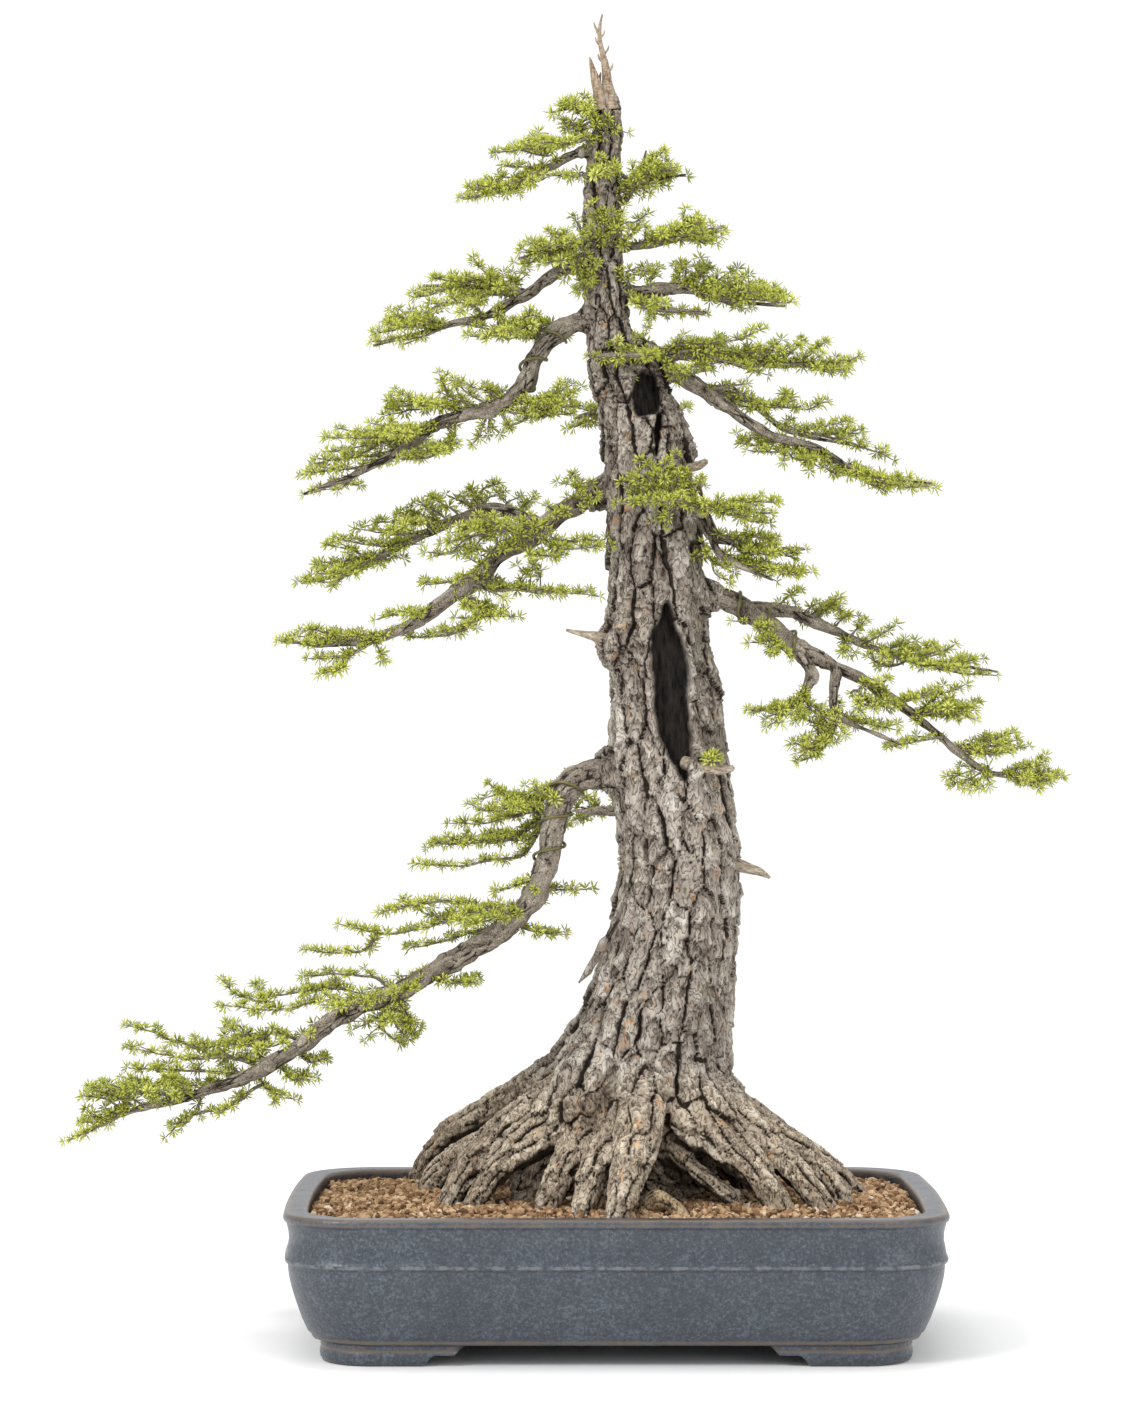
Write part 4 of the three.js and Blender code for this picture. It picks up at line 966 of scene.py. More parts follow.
@dataclass(frozen=True)
class ScreenPlastic:
    """Black moulded drainage mesh."""

    pitch: float = 2.6 * MM

    def material(self) -> bpy.types.Material:
        """A square grid of strands, lighter on the strands and black in the meshes."""
        recipe = Recipe("plastic_mesh")
        wave = 2 * np.pi / self.pitch
        place = recipe.node("ShaderNodeTexCoord", output="Object")
        spot = recipe.node("ShaderNodeSeparateXYZ", {}, {0: place})
        across = recipe.node("ShaderNodeMath", {"operation": "SINE"}, {0: spot * wave})
        other = Signal(recipe, spot.socket.node.outputs[1])
        along = recipe.node("ShaderNodeMath", {"operation": "SINE"}, {0: other * wave})
        strand = 1 - across.rise(0.1, 0.5) * along.rise(0.1, 0.5)
        base = recipe.mix(strand, paint(8, 8, 9), paint(38, 40, 44))
        return recipe.finish(Base_Color=base, Roughness=0.55, Normal=recipe.bump(strand, 0.8, 0.001))


class Finish(Enum):
    """The finishes, by material slot."""

    GLAZE = "glaze"
    SOIL = "soil_grains"
    OLD_BARK = "old_bark"
    ROOT_BARK = "root_bark"
    BRANCH_BARK = "branch_bark"
    DEADWOOD = "deadwood"
    NEEDLES = "larch_needles"
    MESH = "plastic_mesh"
    PLAIN_WIRE = "plain_wire"
    BROWN_WIRE = "brown_wire"


RECIPES: dict[Finish, Any] = {
    Finish.GLAZE: Glaze(),
    Finish.SOIL: Grains(),
    Finish.OLD_BARK: Bark("old_bark", paint(34, 27, 22), paint(116, 106, 97), paint(164, 155, 144),
                          paint(206, 200, 190)),
    Finish.ROOT_BARK: Bark("root_bark", paint(44, 34, 26), paint(150, 134, 112), paint(186, 172, 148),
                           paint(214, 203, 183), flakes=0.2),
    Finish.BRANCH_BARK: Bark("branch_bark", paint(34, 28, 23), paint(118, 108, 96), paint(160, 150, 136),
                             paint(198, 189, 176), flakes=0.1, layer_scale=170.0, layers=10.0,
                             layer_depth=0.005, grain=1.0),
    Finish.DEADWOOD: Deadwood(),
    Finish.NEEDLES: Needles(),
    Finish.MESH: ScreenPlastic(),
    Finish.PLAIN_WIRE: Wire("plain_wire", paint(160, 158, 150), paint(104, 100, 88)),
    Finish.BROWN_WIRE: Wire("brown_wire", paint(112, 100, 70), paint(104, 108, 62)),
}


@dataclass
class Workshop:
    """Turns surfaces into finished pieces of the object."""

    datum: Datum
    materials: dict[Finish, bpy.types.Material] = field(default_factory=dict)

    def material(self, finish: Finish) -> bpy.types.Material:
        """The material of a finish, made once."""
        if finish not in self.materials:
            self.materials[finish] = RECIPES[finish].material()
        return self.materials[finish]

    def add(self, name: str, skin: Skin, finish: Finish, *nodes: str,
            normals: Array | None = None) -> bpy.types.Object:
        """Puts a surface in the scene as one piece.

        Args:
            name: the piece's name.
            skin: its surface, in the frame.
            finish: its finish.
            nodes: the CAD nodes that it stands for.
            normals: a direction for each point, where shading has to cross a cut.

        Returns:
            The piece.
        """
        piece = bpy.data.objects.new(name, skin.mesh(name, normals))
        show(piece)
        piece.data.materials.append(self.material(finish))
        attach(piece, "root")
        if nodes:
            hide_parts(*nodes)
        LOG.info("%s: %d faces", name, len(piece.data.polygons))
        return piece

    def dress(self, finish: Finish, *nodes: str) -> None:
        """Gives CAD nodes that stay in view their material."""
        for node in nodes:
            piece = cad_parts[node]
            piece.data.materials.clear()
            piece.data.materials.append(self.material(finish))
            LOG.info("%s: dressed as %s", node, finish.value)


# -------------------- pot

def soft_rectangle(width: float, depth: float, radius: float, bow: float, arc: int = 14,
                   run: int = 20) -> Array:
    """Points round a rectangle with quarter-circle corners and ends that bow out in a parabola,
    anticlockwise from the front's right end.

    Args:
        width: its size across, at the corners.
        depth: its size from front to back.
        radius: the corners' radius.
        bow: how far each end's middle stands out.
        arc: points in each corner.
        run: points along each straight side.

    Returns:
        Points as N by 2.
    """
    turn = np.linspace(-np.pi / 2, 0, arc)
    quarter = np.stack([np.cos(turn), np.sin(turn)], 1) * radius
    right, back = width / 2 - radius, depth / 2 - radius
    corner = quarter + [right, -back]
    side = np.linspace(corner[-1], corner[-1] * [1, -1], run)[1:-1]
    half = np.concatenate([corner, side, corner[::-1] * [1, -1]])
    behind = np.linspace(half[-1], half[-1] * [-1, 1], 2 * run)[1:-1]
    points = np.concatenate([half, behind, half[::-1] * [-1, 1], behind * [-1, -1]])
    points[:, 0] *= 1 + 2 * bow / width * (1 - (2 * points[:, 1] / depth) ** 2)
    return points


@dataclass
class Pot:
    """The glazed pot: its walls, rim and floor in one skin, and four stepped feet. Sizes in millimetres."""

    shop: Workshop
    corner: float = 48.0
    bow: float = 6.0
    wall_base: float = 15.0
    floor_level: float = 25.0
    foot_length: float = 76.0
    step_length: float = 102.0
    foot_inset: float = 22.0
    drain_radius: float = 13.0
    drain_spacing: float = 220.0
    height: float = 105.0
    # Each row: level, inset and edge mark. A positive edge mark browns the glaze where it is thin; a
    # negative one, at the ridge, calls up the painted highlight.
    outside: Rows = field(default_factory=lambda: [
        (0,231,0.0), (15,40,0.0), (15,21.5,0.1), (15.6,19.8,0.5), (17.2,18.9,0.9), (19,18.3,0.4),
        (20.5,16.4,0.1), (24,14.8,0.0), (30,12.3,0.0), (36,10.2,0.0), (44,7.6,0.0), (52,5.3,0.0),
        (60,3.6,0.0), (66,2.9,0.0), (68.2,3.1,0.55), (69.4,2.0,0.1), (70.6,0.9,-0.9), (72.4,0.7,-0.9),
        (74,1.5,-0.2), (76,2.1,0.1), (80,2.7,0.0), (85,3.7,0.0), (91,3.4,0.0), (95,2.6,0.0), (98.2,1.8,0.1),
        (99.2,0.6,0.3), (100.4,0.0,0.7), (102.4,0.0,0.5), (104,0.7,0.7), (104.8,1.9,1.0), (105,3.6,0.7),
        (104.9,6.5,0.3), (104.8,11,0.25), (104.8,14,0.5), (104.2,15.6,0.9), (102.6,16.4,0.8), (99,16.2,0.4),
        (93,15.6,0.1), (60,20,0.0), (38,27.5,0.0), (30,30,0.0), (26.4,34,0.0), (25,41,0.0), (25,231,0.0),
    ])

    @property
    def size(self) -> tuple[float, float]:
        """The rim's width at its corners, and its depth."""
        return self.shop.datum.pot_size(self.bow)

    def lift(self, level: Array) -> Array:
        """Levels above the ground as design heights above the soil."""
        return level - self.shop.datum.soil / MM

    def shell(self) -> Skin:
        """The wall's profile of level and inset carried round the soft rectangle, which shrinks about
        its middle by twice the inset. The two ends of the profile close at the middle."""
        width, depth = self.size
        rows = np.array(self.outside)
        run = run_along(rows[:, :2])
        extra = np.interp(np.linspace(0, 1, 7)[1:-1], [0, 1], [run[0], run[1]])
        stations = np.unique(np.concatenate([run, extra, (run[1:-1] + run[:-2]) / 2]))[1:-1]
        level, inset, edge = (np.interp(stations, run, rows[:, k]) for k in range(3))
        outline = soft_rectangle(width, depth, self.corner, self.bow)
        columns = len(outline)
        flat = outline[None] * np.stack([1 - 2 * inset / width, 1 - 2 * inset / depth], -1)[:, None]
        points = np.concatenate([flat, np.broadcast_to(level[:, None, None], (*flat.shape[:2], 1))], -1)
        wander = cloud(points.reshape(-1, 3) / 60, 5, 2) * 0.35
        points = points.reshape(-1, 3)
        reach = np.linalg.norm(points[:, :2], axis=1, keepdims=True)
        points[:, :2] += points[:, :2] / np.maximum(reach, 1) * wander[:, None]
        count = len(points)
        under, floor = (0, 0, self.wall_base), (0, 0, self.floor_level)
        first, last = np.arange(columns), np.arange(count - columns, count)
        skin = Skin(
            np.concatenate([points, [under, floor]]),
            grid_faces(len(stations), columns),
            np.concatenate([fan_faces(first, count, False), fan_faces(last, count + 1, True)]),
        )
        skin.marks["edge"] = np.concatenate([np.repeat(edge, columns), [0, 0]])
        return skin

    def foot(self, right: int, back: int) -> Skin:
        """One foot: a section of level and inset carried round a corner of the soft rectangle. Its
        lower side rises in a soft curve to half height, and again to the wall, towards both ends.

        Args:
            right: 1 for a right-hand foot, -1 for a left-hand one.
            back: 1 for a back foot, -1 for a front one.

        Returns:
            The foot's surface.
        """
        width, depth = self.size
        radius = self.corner - self.foot_inset / 2
        turn = np.linspace(-np.pi / 2, 0, 18)
        hub = np.array([width / 2 - self.foot_inset - radius, -depth / 2 + self.foot_inset + radius])
        arc = hub + radius * np.stack([np.cos(turn), np.sin(turn)], 1)
        reach = self.step_length - radius
        out = np.linspace(reach, 0, 40)[:-1]
        front = np.stack([hub[0] - out, np.full(len(out), arc[0, 1])], 1)
        side = np.stack([np.full(len(out), arc[-1, 0]), hub[1] + out[::-1]], 1)
        line = np.concatenate([front, arc, side])
        along = np.concatenate([out + radius, np.full(len(arc), 0.0), out[::-1] + radius])
        heading = np.gradient(line, axis=0)
        heading /= np.linalg.norm(heading, axis=1, keepdims=True)
        inward = np.stack([-heading[:, 1], heading[:, 0]], 1)
        section = np.array([
            (16.5, 1.5), (14.6, 0.8), (12.4, 0.3), (11.2, 0.9), (10.2, 1.1), (9.2, 0.3), (6, 0.0), (3, 0.5),
            (1.2, 1.6), (0.3, 3.4), (0, 6), (0, 18), (0.8, 20.6), (3, 22), (16.5, 22)])
        edge = np.array([0.2, 0.5, 0.4, 0.8, 0.8, 0.5, 0.1, 0.2, 0.6, 0.9, 0.6, 0.2, 0.5, 0.2, 0.1])
        floor = (smooth(along, self.foot_length - 3, self.foot_length + 6) * 7.5
                 + smooth(along, self.step_length - 7, self.step_length) * 6.0)
        level = np.maximum(section[None, :, 0], floor[:, None] + section[None, :, 0] * 0.12)
        spot = line[:, None] + inward[:, None] * section[None, :, 1:2]
        points = np.concatenate([spot, level[..., None]], -1).reshape(-1, 3)
        columns, count = len(section), len(points)
        ends = np.stack([points[:columns].mean(0), points[-columns:].mean(0)])
        faces = grid_faces(len(line), columns)
        caps = np.concatenate([fan_faces(np.arange(columns), count, False),
                               fan_faces(np.arange(count - columns, count), count + 1, True)])
        points = np.concatenate([points, ends]) * [right, -back, 1]
        inside_out = right * -back < 0
        faces = faces if inside_out else faces[:, ::-1]
        caps = caps if inside_out else caps[:, ::-1]
        return Skin(points, faces, caps, {"edge": np.concatenate([np.tile(edge, len(line)), [0.2, 0.2]])})

    def build(self) -> None:
        """Makes the pot, cuts its drain holes and dresses it."""
        feet = [self.foot(right, back) for back in (-1, 1) for right in (-1, 1)]
        skin = Skin.joined([self.shell(), *feet])
        skin.points[:, 2] = self.lift(skin.points[:, 2])
        skin.points = self.shop.datum.place(skin.points)
        drains = []
        for side in (-1, 1):
            middle = side * self.drain_spacing / 2
            line = np.array([(middle, 0, self.lift(8.0), self.drain_radius),
                             (middle, 0, self.lift(32.0), self.drain_radius)])
            path = Path.through(self.shop.datum.place(line), 6 * MM)
            drains.append(tube(path, 48, marks=("edge",)))
        piece = self.shop.add("pot_glazed", skin, Finish.GLAZE, "pot")
        cutter = bpy.data.objects.new("drain_cutter", Skin.joined(drains).mesh("drain_cutter"))
        show(cutter)
        cut = piece.modifiers.new("drains", "BOOLEAN")
        cut.object = cutter
        cut.operation = "DIFFERENCE"
        cut.solver = "FAST"
        settled = bpy.data.meshes.new_from_object(piece.evaluated_get(bpy.context.evaluated_depsgraph_get()))
        piece.modifiers.clear()
        piece.data = settled
        bpy.data.objects.remove(cutter)


# -------------------- soil

@dataclass
class Soil:
    """The bed of clay grains, sizes in millimetres."""

    shop: Workshop
    grain_count: int = 9000
    grain_size: float = 2.5
    bed_corner: float = 36.0
    edge_inset: float = 16.6
    corner: float = 48.0
    bow: float = 6.0
    mound: float = 4.0
    depth: float = 70.0

    @property
    def size(self) -> tuple[float, float]:
        """The pot's width at its corners, and its depth."""
        return self.shop.datum.pot_size(self.bow)

    def level(self, spots: Array) -> Array:
        """The bed's height at places across it: a low mound that falls to the wall, and soft lumps."""
        width, depth = self.size
        sides = width / 2 - np.abs(spots[:, 0])
        ends = depth / 2 - np.abs(spots[:, 1])
        inset = np.minimum(sides, ends) - self.edge_inset
        flat = np.column_stack([spots[:, :2] / 26, np.zeros(len(spots))])
        return -self.mound * (1 - smooth(inset, 0, depth * 0.22)) + cloud(flat, 11, 2) * 1.0

    def bed(self) -> Skin:
        """Rings of the pot's outline drawn in to the middle at the bed's height, with a wall below."""
        width, depth = self.size
        outline = soft_rectangle(width, depth, self.corner, self.bow)
        share = np.linspace(0.02, 1, 70)[:, None, None]
        shrink = np.array([1 - 2 * (self.edge_inset - 0.6) / width, 1 - 2 * (self.edge_inset - 0.6) / depth])
        spots = (outline[None] * shrink * share).reshape(-1, 2)
        top = np.column_stack([spots, self.level(spots) - 1.6])
        rim = outline * shrink
        wall = np.column_stack([rim * 0.985, np.full(len(rim), -self.depth)])
        hubs = [(0, 0, self.level(np.zeros((1, 2)))[0] - 1.6), (0, 0, -self.depth)]
        points = np.concatenate([top, wall, hubs])
        columns, count = len(outline), len(points) - 2
        faces = grid_faces(71, columns)[:, ::-1]
        caps = np.concatenate([fan_faces(np.arange(columns), count, True),
                               fan_faces(np.arange(count - columns, count), count + 1, False)])
        return Skin(self.shop.datum.place(points), faces, caps, {"tone": np.full(len(points), 0.12)})

    def grains(self) -> Skin:
        """Twenty-faced stones, each squashed, turned and roughened on its own, strewn over the bed.

        The stones' places are drawn at random over the outline's rectangle, kept inside its rounded corners
        and spread out with its bowed ends.
        """
        rng = np.random.default_rng(4)
        width, depth = self.size
        g = (1 + 5 ** 0.5) / 2
        corners = np.array([(-1, g, 0), (1, g, 0), (-1, -g, 0), (1, -g, 0), (0, -1, g), (0, 1, g),
                            (0, -1, -g), (0, 1, -g), (g, 0, -1), (g, 0, 1), (-g, 0, -1), (-g, 0, 1)])
        corners = corners / np.hypot(1, g)
        faces = np.array([(0, 11, 5), (0, 5, 1), (0, 1, 7), (0, 7, 10), (0, 10, 11), (1, 5, 9), (5, 11, 4),
                          (11, 10, 2), (10, 7, 6), (7, 1, 8), (3, 9, 4), (3, 4, 2), (3, 2, 6), (3, 6, 8),
                          (3, 8, 9), (4, 9, 5), (2, 4, 11), (6, 2, 10), (8, 6, 7), (9, 8, 1)])
        count = self.grain_count
        inner = np.array([width, depth]) / 2 - self.edge_inset - 2.2
        spots = (rng.random((count, 2)) * 2 - 1) * inner
        outer = np.maximum(np.abs(spots) - (inner - self.bed_corner), 0)
        spots = spots[np.linalg.norm(outer, axis=1) < self.bed_corner]
        spots[:, 0] *= 1 + 2 * self.bow / width * (1 - (spots[:, 1] / inner[1]) ** 2)
        count = len(spots)
        size = self.grain_size * (0.55 + 0.75 * rng.random(count) ** 1.4)
        stretch = 0.62 + 0.8 * rng.random((count, 1, 3)) ** 1.5
        axes, _ = np.linalg.qr(rng.normal(size=(count, 3, 3)))
        axes *= np.sign(np.linalg.det(axes))[:, None, None]
        rough = 1 + 0.22 * (rng.random((count, 12, 1)) - 0.5)
        stones = np.einsum("nij,nkj->nki", axes, corners[None] * stretch * rough) * size[:, None, None]
        centre = np.column_stack([spots, self.level(spots) + rng.random(count) * 1.6 - 1.2])
        points = self.shop.datum.place((stones + centre[:, None]).reshape(-1, 3))
        tris = (faces[None] + np.arange(count)[:, None, None] * 12).reshape(-1, 3)
        tone = np.clip(rng.normal(0.5, 0.24, count), 0.02, 0.97)
        return Skin(points, tris=tris, marks={"tone": np.repeat(tone, 12)})

    def build(self) -> None:
        """Makes the bed and its grains."""
        self.shop.add("soil_bed", self.bed(), Finish.SOIL, "soil")
        grains = self.shop.add("soil_grains", self.grains(), Finish.SOIL, "soil")
        grains.data.shade_flat()
        ends = np.array([(-35, -21, 0.5, 2.2), (-29, -21, 1.5, 2.6)])
        pebble = Path.through(self.shop.datum.place(ends), 1 * MM)
        skin = tube(pebble, 12, marks=("tone",))
        skin.marks["tone"] += 1.0
        self.shop.add("perlite_grain", skin, Finish.SOIL, "soil")


# -------------------- trunk

@dataclass
class Limb:
    """A bark-covered limb made as a tube. Sizes in millimetres."""

    shop: Workshop
    step: float = 1.5
    scale_width: float = 4.6
    scale_depth: float = 1.25
    knot_depth: float = 2.6

    def skin(self, rows: Rows, seed: int, roughness: float = 1.0) -> Skin:
        """A tube through the rows, with knots as soft noise and scales as raised cells along the limb.

        Args:
            rows: places and radii in design millimetres.
            seed: picks the pattern.
            roughness: how strong the bark is.

        Returns:
            The limb's surface with its marks.
        """
        path = Path.through(self.shop.datum.place(np.array(rows, float)), self.step * MM)
        thick = float(path.radii.max()) / MM
        sides = int(np.clip(2 * np.pi * thick / 1.25, 9, 52))
        spots = ring_places(path, sides, 0.3) / MM
        bend = np.stack([cloud(path.spots / (16 * MM), seed + k, 2) for k in range(3)], 1)
        path.spots = path.spots + bend * np.minimum(path.radii, 3 * MM)[:, None] * 0.35
        warp = np.stack([cloud(spots / 7, seed + k, 2) for k in (20, 21, 22)], 1) * 1.6
        _, gap, tone = plates((spots + warp) / self.scale_width, seed)
        crack = (1 - smooth(gap, 0.02, 0.15)) * smooth(cloud(spots / 6, seed + 8, 2), -0.5, 0.3)
        fine = cloud(spots / 1.7, seed + 5, 2)
        lumps = cloud(spots * [1, 1, 2.6] / 9, seed + 7, 2)
        shape = (len(path.spots), sides)
        share = np.clip(path.radii / MM / 6, 0.12, 1)[:, None] * roughness
        bump = ((tone - 0.5) * 0.8 - crack + 0.25 * fine) * self.scale_depth + lumps * self.knot_depth
        skin = tube(path, sides, bump.reshape(shape) * share * MM)
        closing = np.zeros(2)
        skin.marks = {
            # The crack mark, dark in the shader as painted shade in the cracks, is lifted off the raised
            # lumps, and the tone is lighter on the raised lumps and fine bumps: painted light following the
            # relief.
            "crack": np.concatenate([np.clip(crack * 0.8 - lumps * 0.5, 0, 1), closing]),
            "tone": np.concatenate([np.clip(0.4 + 0.35 * (tone - 0.5) + 0.35 * fine + lumps * 0.3, 0, 1),
                                    closing + 0.4]),
            "hollow": np.zeros(len(skin.points)),
            "pale": np.zeros(len(skin.points)),
        }
        return skin


@dataclass
class Trunk:
    """The trunk with its surface roots, in one skin with deep bark. Sizes in millimetres."""

    shop: Workshop
    voxel: float = 1.35
    ring_step: float = 4.0
    columns: int = 96
    root_sides: int = 26
    softening: int = 6
    candidates: int = 16000
    plate_width: float = 14.0
    plate_spacing: float = 0.86
    plate_stretch: float = 0.3
    crack_width: float = 2.2
    crack_depth: float = 4.6
    plate_rise: float = 3.0
    plate_lift: float = 0.055
    plate_tilt: float = 0.055
    warp_size: float = 13.0
    warp_depth: float = 3.4
    slide: float = 6.0
    step_width: float = 2.3
    step_rise: float = 0.5
    flake_width: float = 7.0
    flake_lift: float = 1.7
    root_plate_width: float = 10.5
    root_top: float = 125.0
    silhouette: float = 70.0
    hollow_depth: float = 14.0
    split_levels: tuple[float, ...] = (20.0, 104.0, 230.0, 440.0)

    def shaft(self) -> Skin:
        """The rings read every few millimetres of height and softened, each an oval whose radius
        ripples with the angle in five and nine lobes that wind slowly upwards."""
        rows = np.array(TRUNK_RINGS, float)
        height = np.arange(rows[0, 2], rows[-1, 2], self.ring_step)
        read = np.stack([np.interp(height, rows[:, 2], rows[:, k]) for k in (0, 1, 3, 4)], 1)
        padded = np.pad(read, ((4, 4), (0, 0)), mode="edge")
        window = np.hanning(11)[1:-1]
        window /= window.sum()
        read = np.stack([np.convolve(padded[:, k], window, mode="valid") for k in range(4)], 1)
        columns = self.columns
        turn = np.linspace(0, 2 * np.pi, columns, endpoint=False)[None]
        rise = height[:, None] / 800
        ripple = 1 + 0.035 * np.sin(5 * turn + 4 * rise) + 0.022 * np.sin(9 * turn - 7 * rise + 1)
        x = read[:, :1] + np.cos(turn) * read[:, 2:3] * ripple
        y = read[:, 1:2] + np.sin(turn) * read[:, 3:] * ripple
        points = np.stack([x, y, np.broadcast_to(height[:, None], x.shape)], -1).reshape(-1, 3)
        count = len(points)
        hubs = np.array([(*read[0, :2], height[0]), (*read[-1, :2], height[-1] + 1)])
        return Skin(np.concatenate([points, hubs]), grid_faces(len(height), columns), np.concatenate([
            fan_faces(np.arange(columns), count, False),
            fan_faces(np.arange(count - columns, count), count + 1, True)]))

    def collars(self) -> list[Skin]:
        """Swellings of bark where the branches and the dead stubs leave the trunk."""
        starts = [routes[0][:2] for routes in BRANCHES.values()]
        starts += [[(14, -10, 402, 16), (-13, -13, 408, 8.6)], [(46, -26, 317, 10), (62, -44, 315, 9.4)],
                   [(62, -6, 250, 11), STUBS["jin_right_low"][0]],
                   [(36, -6, 530, 8), STUBS["jin_right_upper"][0]]]
        skins = []
        for start in starts:
            inner, outer = np.array(start[0], float), np.array(start[1], float)
            middle = inner * 0.4 + outer * 0.6
            line = np.array([[*inner[:3], inner[3] * 1.5], [*middle[:3], inner[3] * 1.28],
                             [*(inner * 0.1 + outer * 0.9)[:3], outer[3] * 1.08]])
            skins.append(tube(Path.through(line, 3.0), 20))
        return skins

    def core(self) -> tuple[Array, Array]:
        """The shaft, roots and collars joined into one even skin, then softened.

        Returns:
            Points in design millimetres and faces of four.
        """
        roots = [tube(Path.through(np.array(root, float), 4.0), self.root_sides) for root in ROOTS]
        whole = Skin.joined([self.shaft(), *roots, *self.collars()])
        blank = bpy.data.objects.new("trunk_blank", whole.mesh("trunk_blank"))
        show(blank)
        remesh = blank.modifiers.new("one_skin", "REMESH")
        remesh.mode = "VOXEL"
        remesh.voxel_size = self.voxel
        ready = blank.evaluated_get(bpy.context.evaluated_depsgraph_get()).to_mesh()
        points = np.empty(len(ready.vertices) * 3, np.float32)
        ready.vertices.foreach_get("co", points)
        corners = np.empty(len(ready.loops), np.int32)
        ready.loops.foreach_get("vertex_index", corners)
        bpy.data.objects.remove(blank)
        faces = corners.reshape(-1, 4)
        return self.soften(points.reshape(-1, 3).astype(float), faces, self.softening), faces

    @staticmethod
    def soften(points: Array, quads: Array, rounds: int) -> Array:
        """Each point moves half way to the mean of its neighbours, round after round."""
        starts = np.concatenate([quads, np.roll(quads, 1, axis=1)]).ravel()
        stops = np.concatenate([np.roll(quads, -1, axis=1), np.roll(quads, 2, axis=1)]).ravel()
        count = len(points)
        share = np.bincount(starts, minlength=count)[:, None]
        for _ in range(rounds):
            mean = np.stack([np.bincount(starts, points[stops, k], count) for k in range(3)], 1) / share
            points = points * 0.5 + mean * 0.5
        return points

    @staticmethod
    def normals(points: Array, quads: Array) -> Array:
        """A unit direction out of the skin at each point: the sum of its faces' crossed diagonals."""
        across = points[quads[:, 2]] - points[quads[:, 0]]
        along = points[quads[:, 3]] - points[quads[:, 1]]
        facing = np.cross(across, along)
        total = np.stack([
            np.bincount(quads.ravel(), np.repeat(facing[:, k], 4), len(points)) for k in range(3)], 1)
        return total / np.maximum(np.linalg.norm(total, axis=1, keepdims=True), 1e-12)

    def grain(self, points: Array) -> tuple[Array, Array, Array]:
        """The direction in which the bark runs at each point: along the trunk's axis above, along the
        nearest root below, mixed in between.

        Args:
            points: the skin's points.

        Returns:
            Unit directions, how much each point belongs to a root, and that root's radius.
        """
        paths = [Path.through(np.array(root, float), 5.0) for root in ROOTS]
        spots = np.concatenate([path.spots for path in paths])
        radii = np.concatenate([path.radii for path in paths])
        heading = np.concatenate([path.heading for path in paths])
        low = points[:, 2] < self.root_top
        nearest = np.concatenate([
            np.argmin(np.linalg.norm(part[:, None] - spots[None], axis=2) - radii[None], axis=1)
            for part in np.array_split(points[low], max(1, int(low.sum()) // 4000))])
        rings = np.array(TRUNK_RINGS, float)
        levels = np.arange(-20.0, 880.0, 5.0)
        line = np.stack([np.interp(levels, rings[:, 2], rings[:, k]) for k in (0, 1)] + [levels], 1)
        slope = unit(np.gradient(line, axis=0))
        shaft = np.stack([np.interp(points[:, 2], levels, slope[:, k]) for k in range(3)], 1)
        root = 1 - smooth(points[:, 2] + cloud(points / 30, 7, 2) * 14, 60, self.root_top - 15)
        direction = shaft.copy()
        direction[low] = shaft[low] * (1 - root[low, None]) - heading[nearest] * root[low, None]
        thick = np.full(len(points), 20.0)
        thick[low] = radii[nearest]
        return unit(direction), root, thick

    def plate_seeds(self, points: Array, grain: Array, width: Array) -> Array:
        """The middles of the plates: points in a shuffled order, each kept if none kept before it lies
        within a plate's width, where distance along the grain counts for less.

        Args:
            points: the skin's points.
            grain: the unit direction of the grain at each.
            width: the plates' width at each.

        Returns:
            The kept points' numbers.
        """
        rng = np.random.default_rng(12)
        order = rng.permutation(len(points))[:self.candidates]
        kept = order[:1]
        for number in order[1:]:
            offset = points[kept] - points[number]
            along = offset @ grain[number]
            spread = (offset ** 2).sum(axis=1) - (1 - self.plate_stretch ** 2) * along ** 2
            if spread.min() > (self.plate_spacing * width[number]) ** 2:
                kept = np.append(kept, number)
        return kept

    def plates(self, points: Array, grain: Array, width: Array) -> dict[str, Array]:
        """Cells round the plates' middles, spread over the skin itself.

        Each point belongs to the middle that is nearest once distance along the grain is shortened.
        The distance to the plate's edge is the difference of the two nearest squared distances, over
        twice the length of the step between their middles as the metric weighs it.

        Args:
            points: the skin's points.
            grain: the grain's direction at each.
            width: the plates' width at each.

        Returns:
            By name: the distance to the edge, how far that edge runs across the grain, the plate's own
            number from 0 to 1, and its lean at the point.
        """
        kept = self.plate_seeds(points, grain, width)
        rng = np.random.default_rng(13)
        middles, lines = points[kept], grain[kept]
        squeeze = 1 - self.plate_stretch ** 2
        warp = np.stack([cloud(points / self.warp_size, 30 + k, 3) for k in range(3)], 1) * self.warp_depth
        bent = points + warp + grain * cloud(points / 30, 36, 2)[:, None] * self.slide
        first, second = np.empty(len(points), int), np.empty(len(points), int)
        near, far = np.empty(len(points)), np.empty(len(points))
        for part in np.array_split(np.arange(len(points)), max(1, len(points) // 6000)):
            spots = bent[part]
            distance = ((spots ** 2).sum(1)[:, None] + (middles ** 2).sum(1) - 2 * spots @ middles.T)
            along = spots @ lines.T - (middles * lines).sum(1)
            distance = distance - squeeze * along ** 2
            rows = np.arange(len(part))
            first[part] = distance.argmin(axis=1)
            near[part] = distance[rows, first[part]]
            distance[rows, first[part]] = np.inf
            second[part] = distance.argmin(axis=1)
            far[part] = distance[rows, second[part]]
        step = middles[second] - middles[first]
        along = (step * lines[first]).sum(1)
        length = (step ** 2).sum(1)
        weighed = np.sqrt(length - along ** 2 + self.plate_stretch ** 4 * along ** 2)
        lean = rng.normal(0, self.plate_tilt, (len(kept), 3))
        offset = points - middles[first]
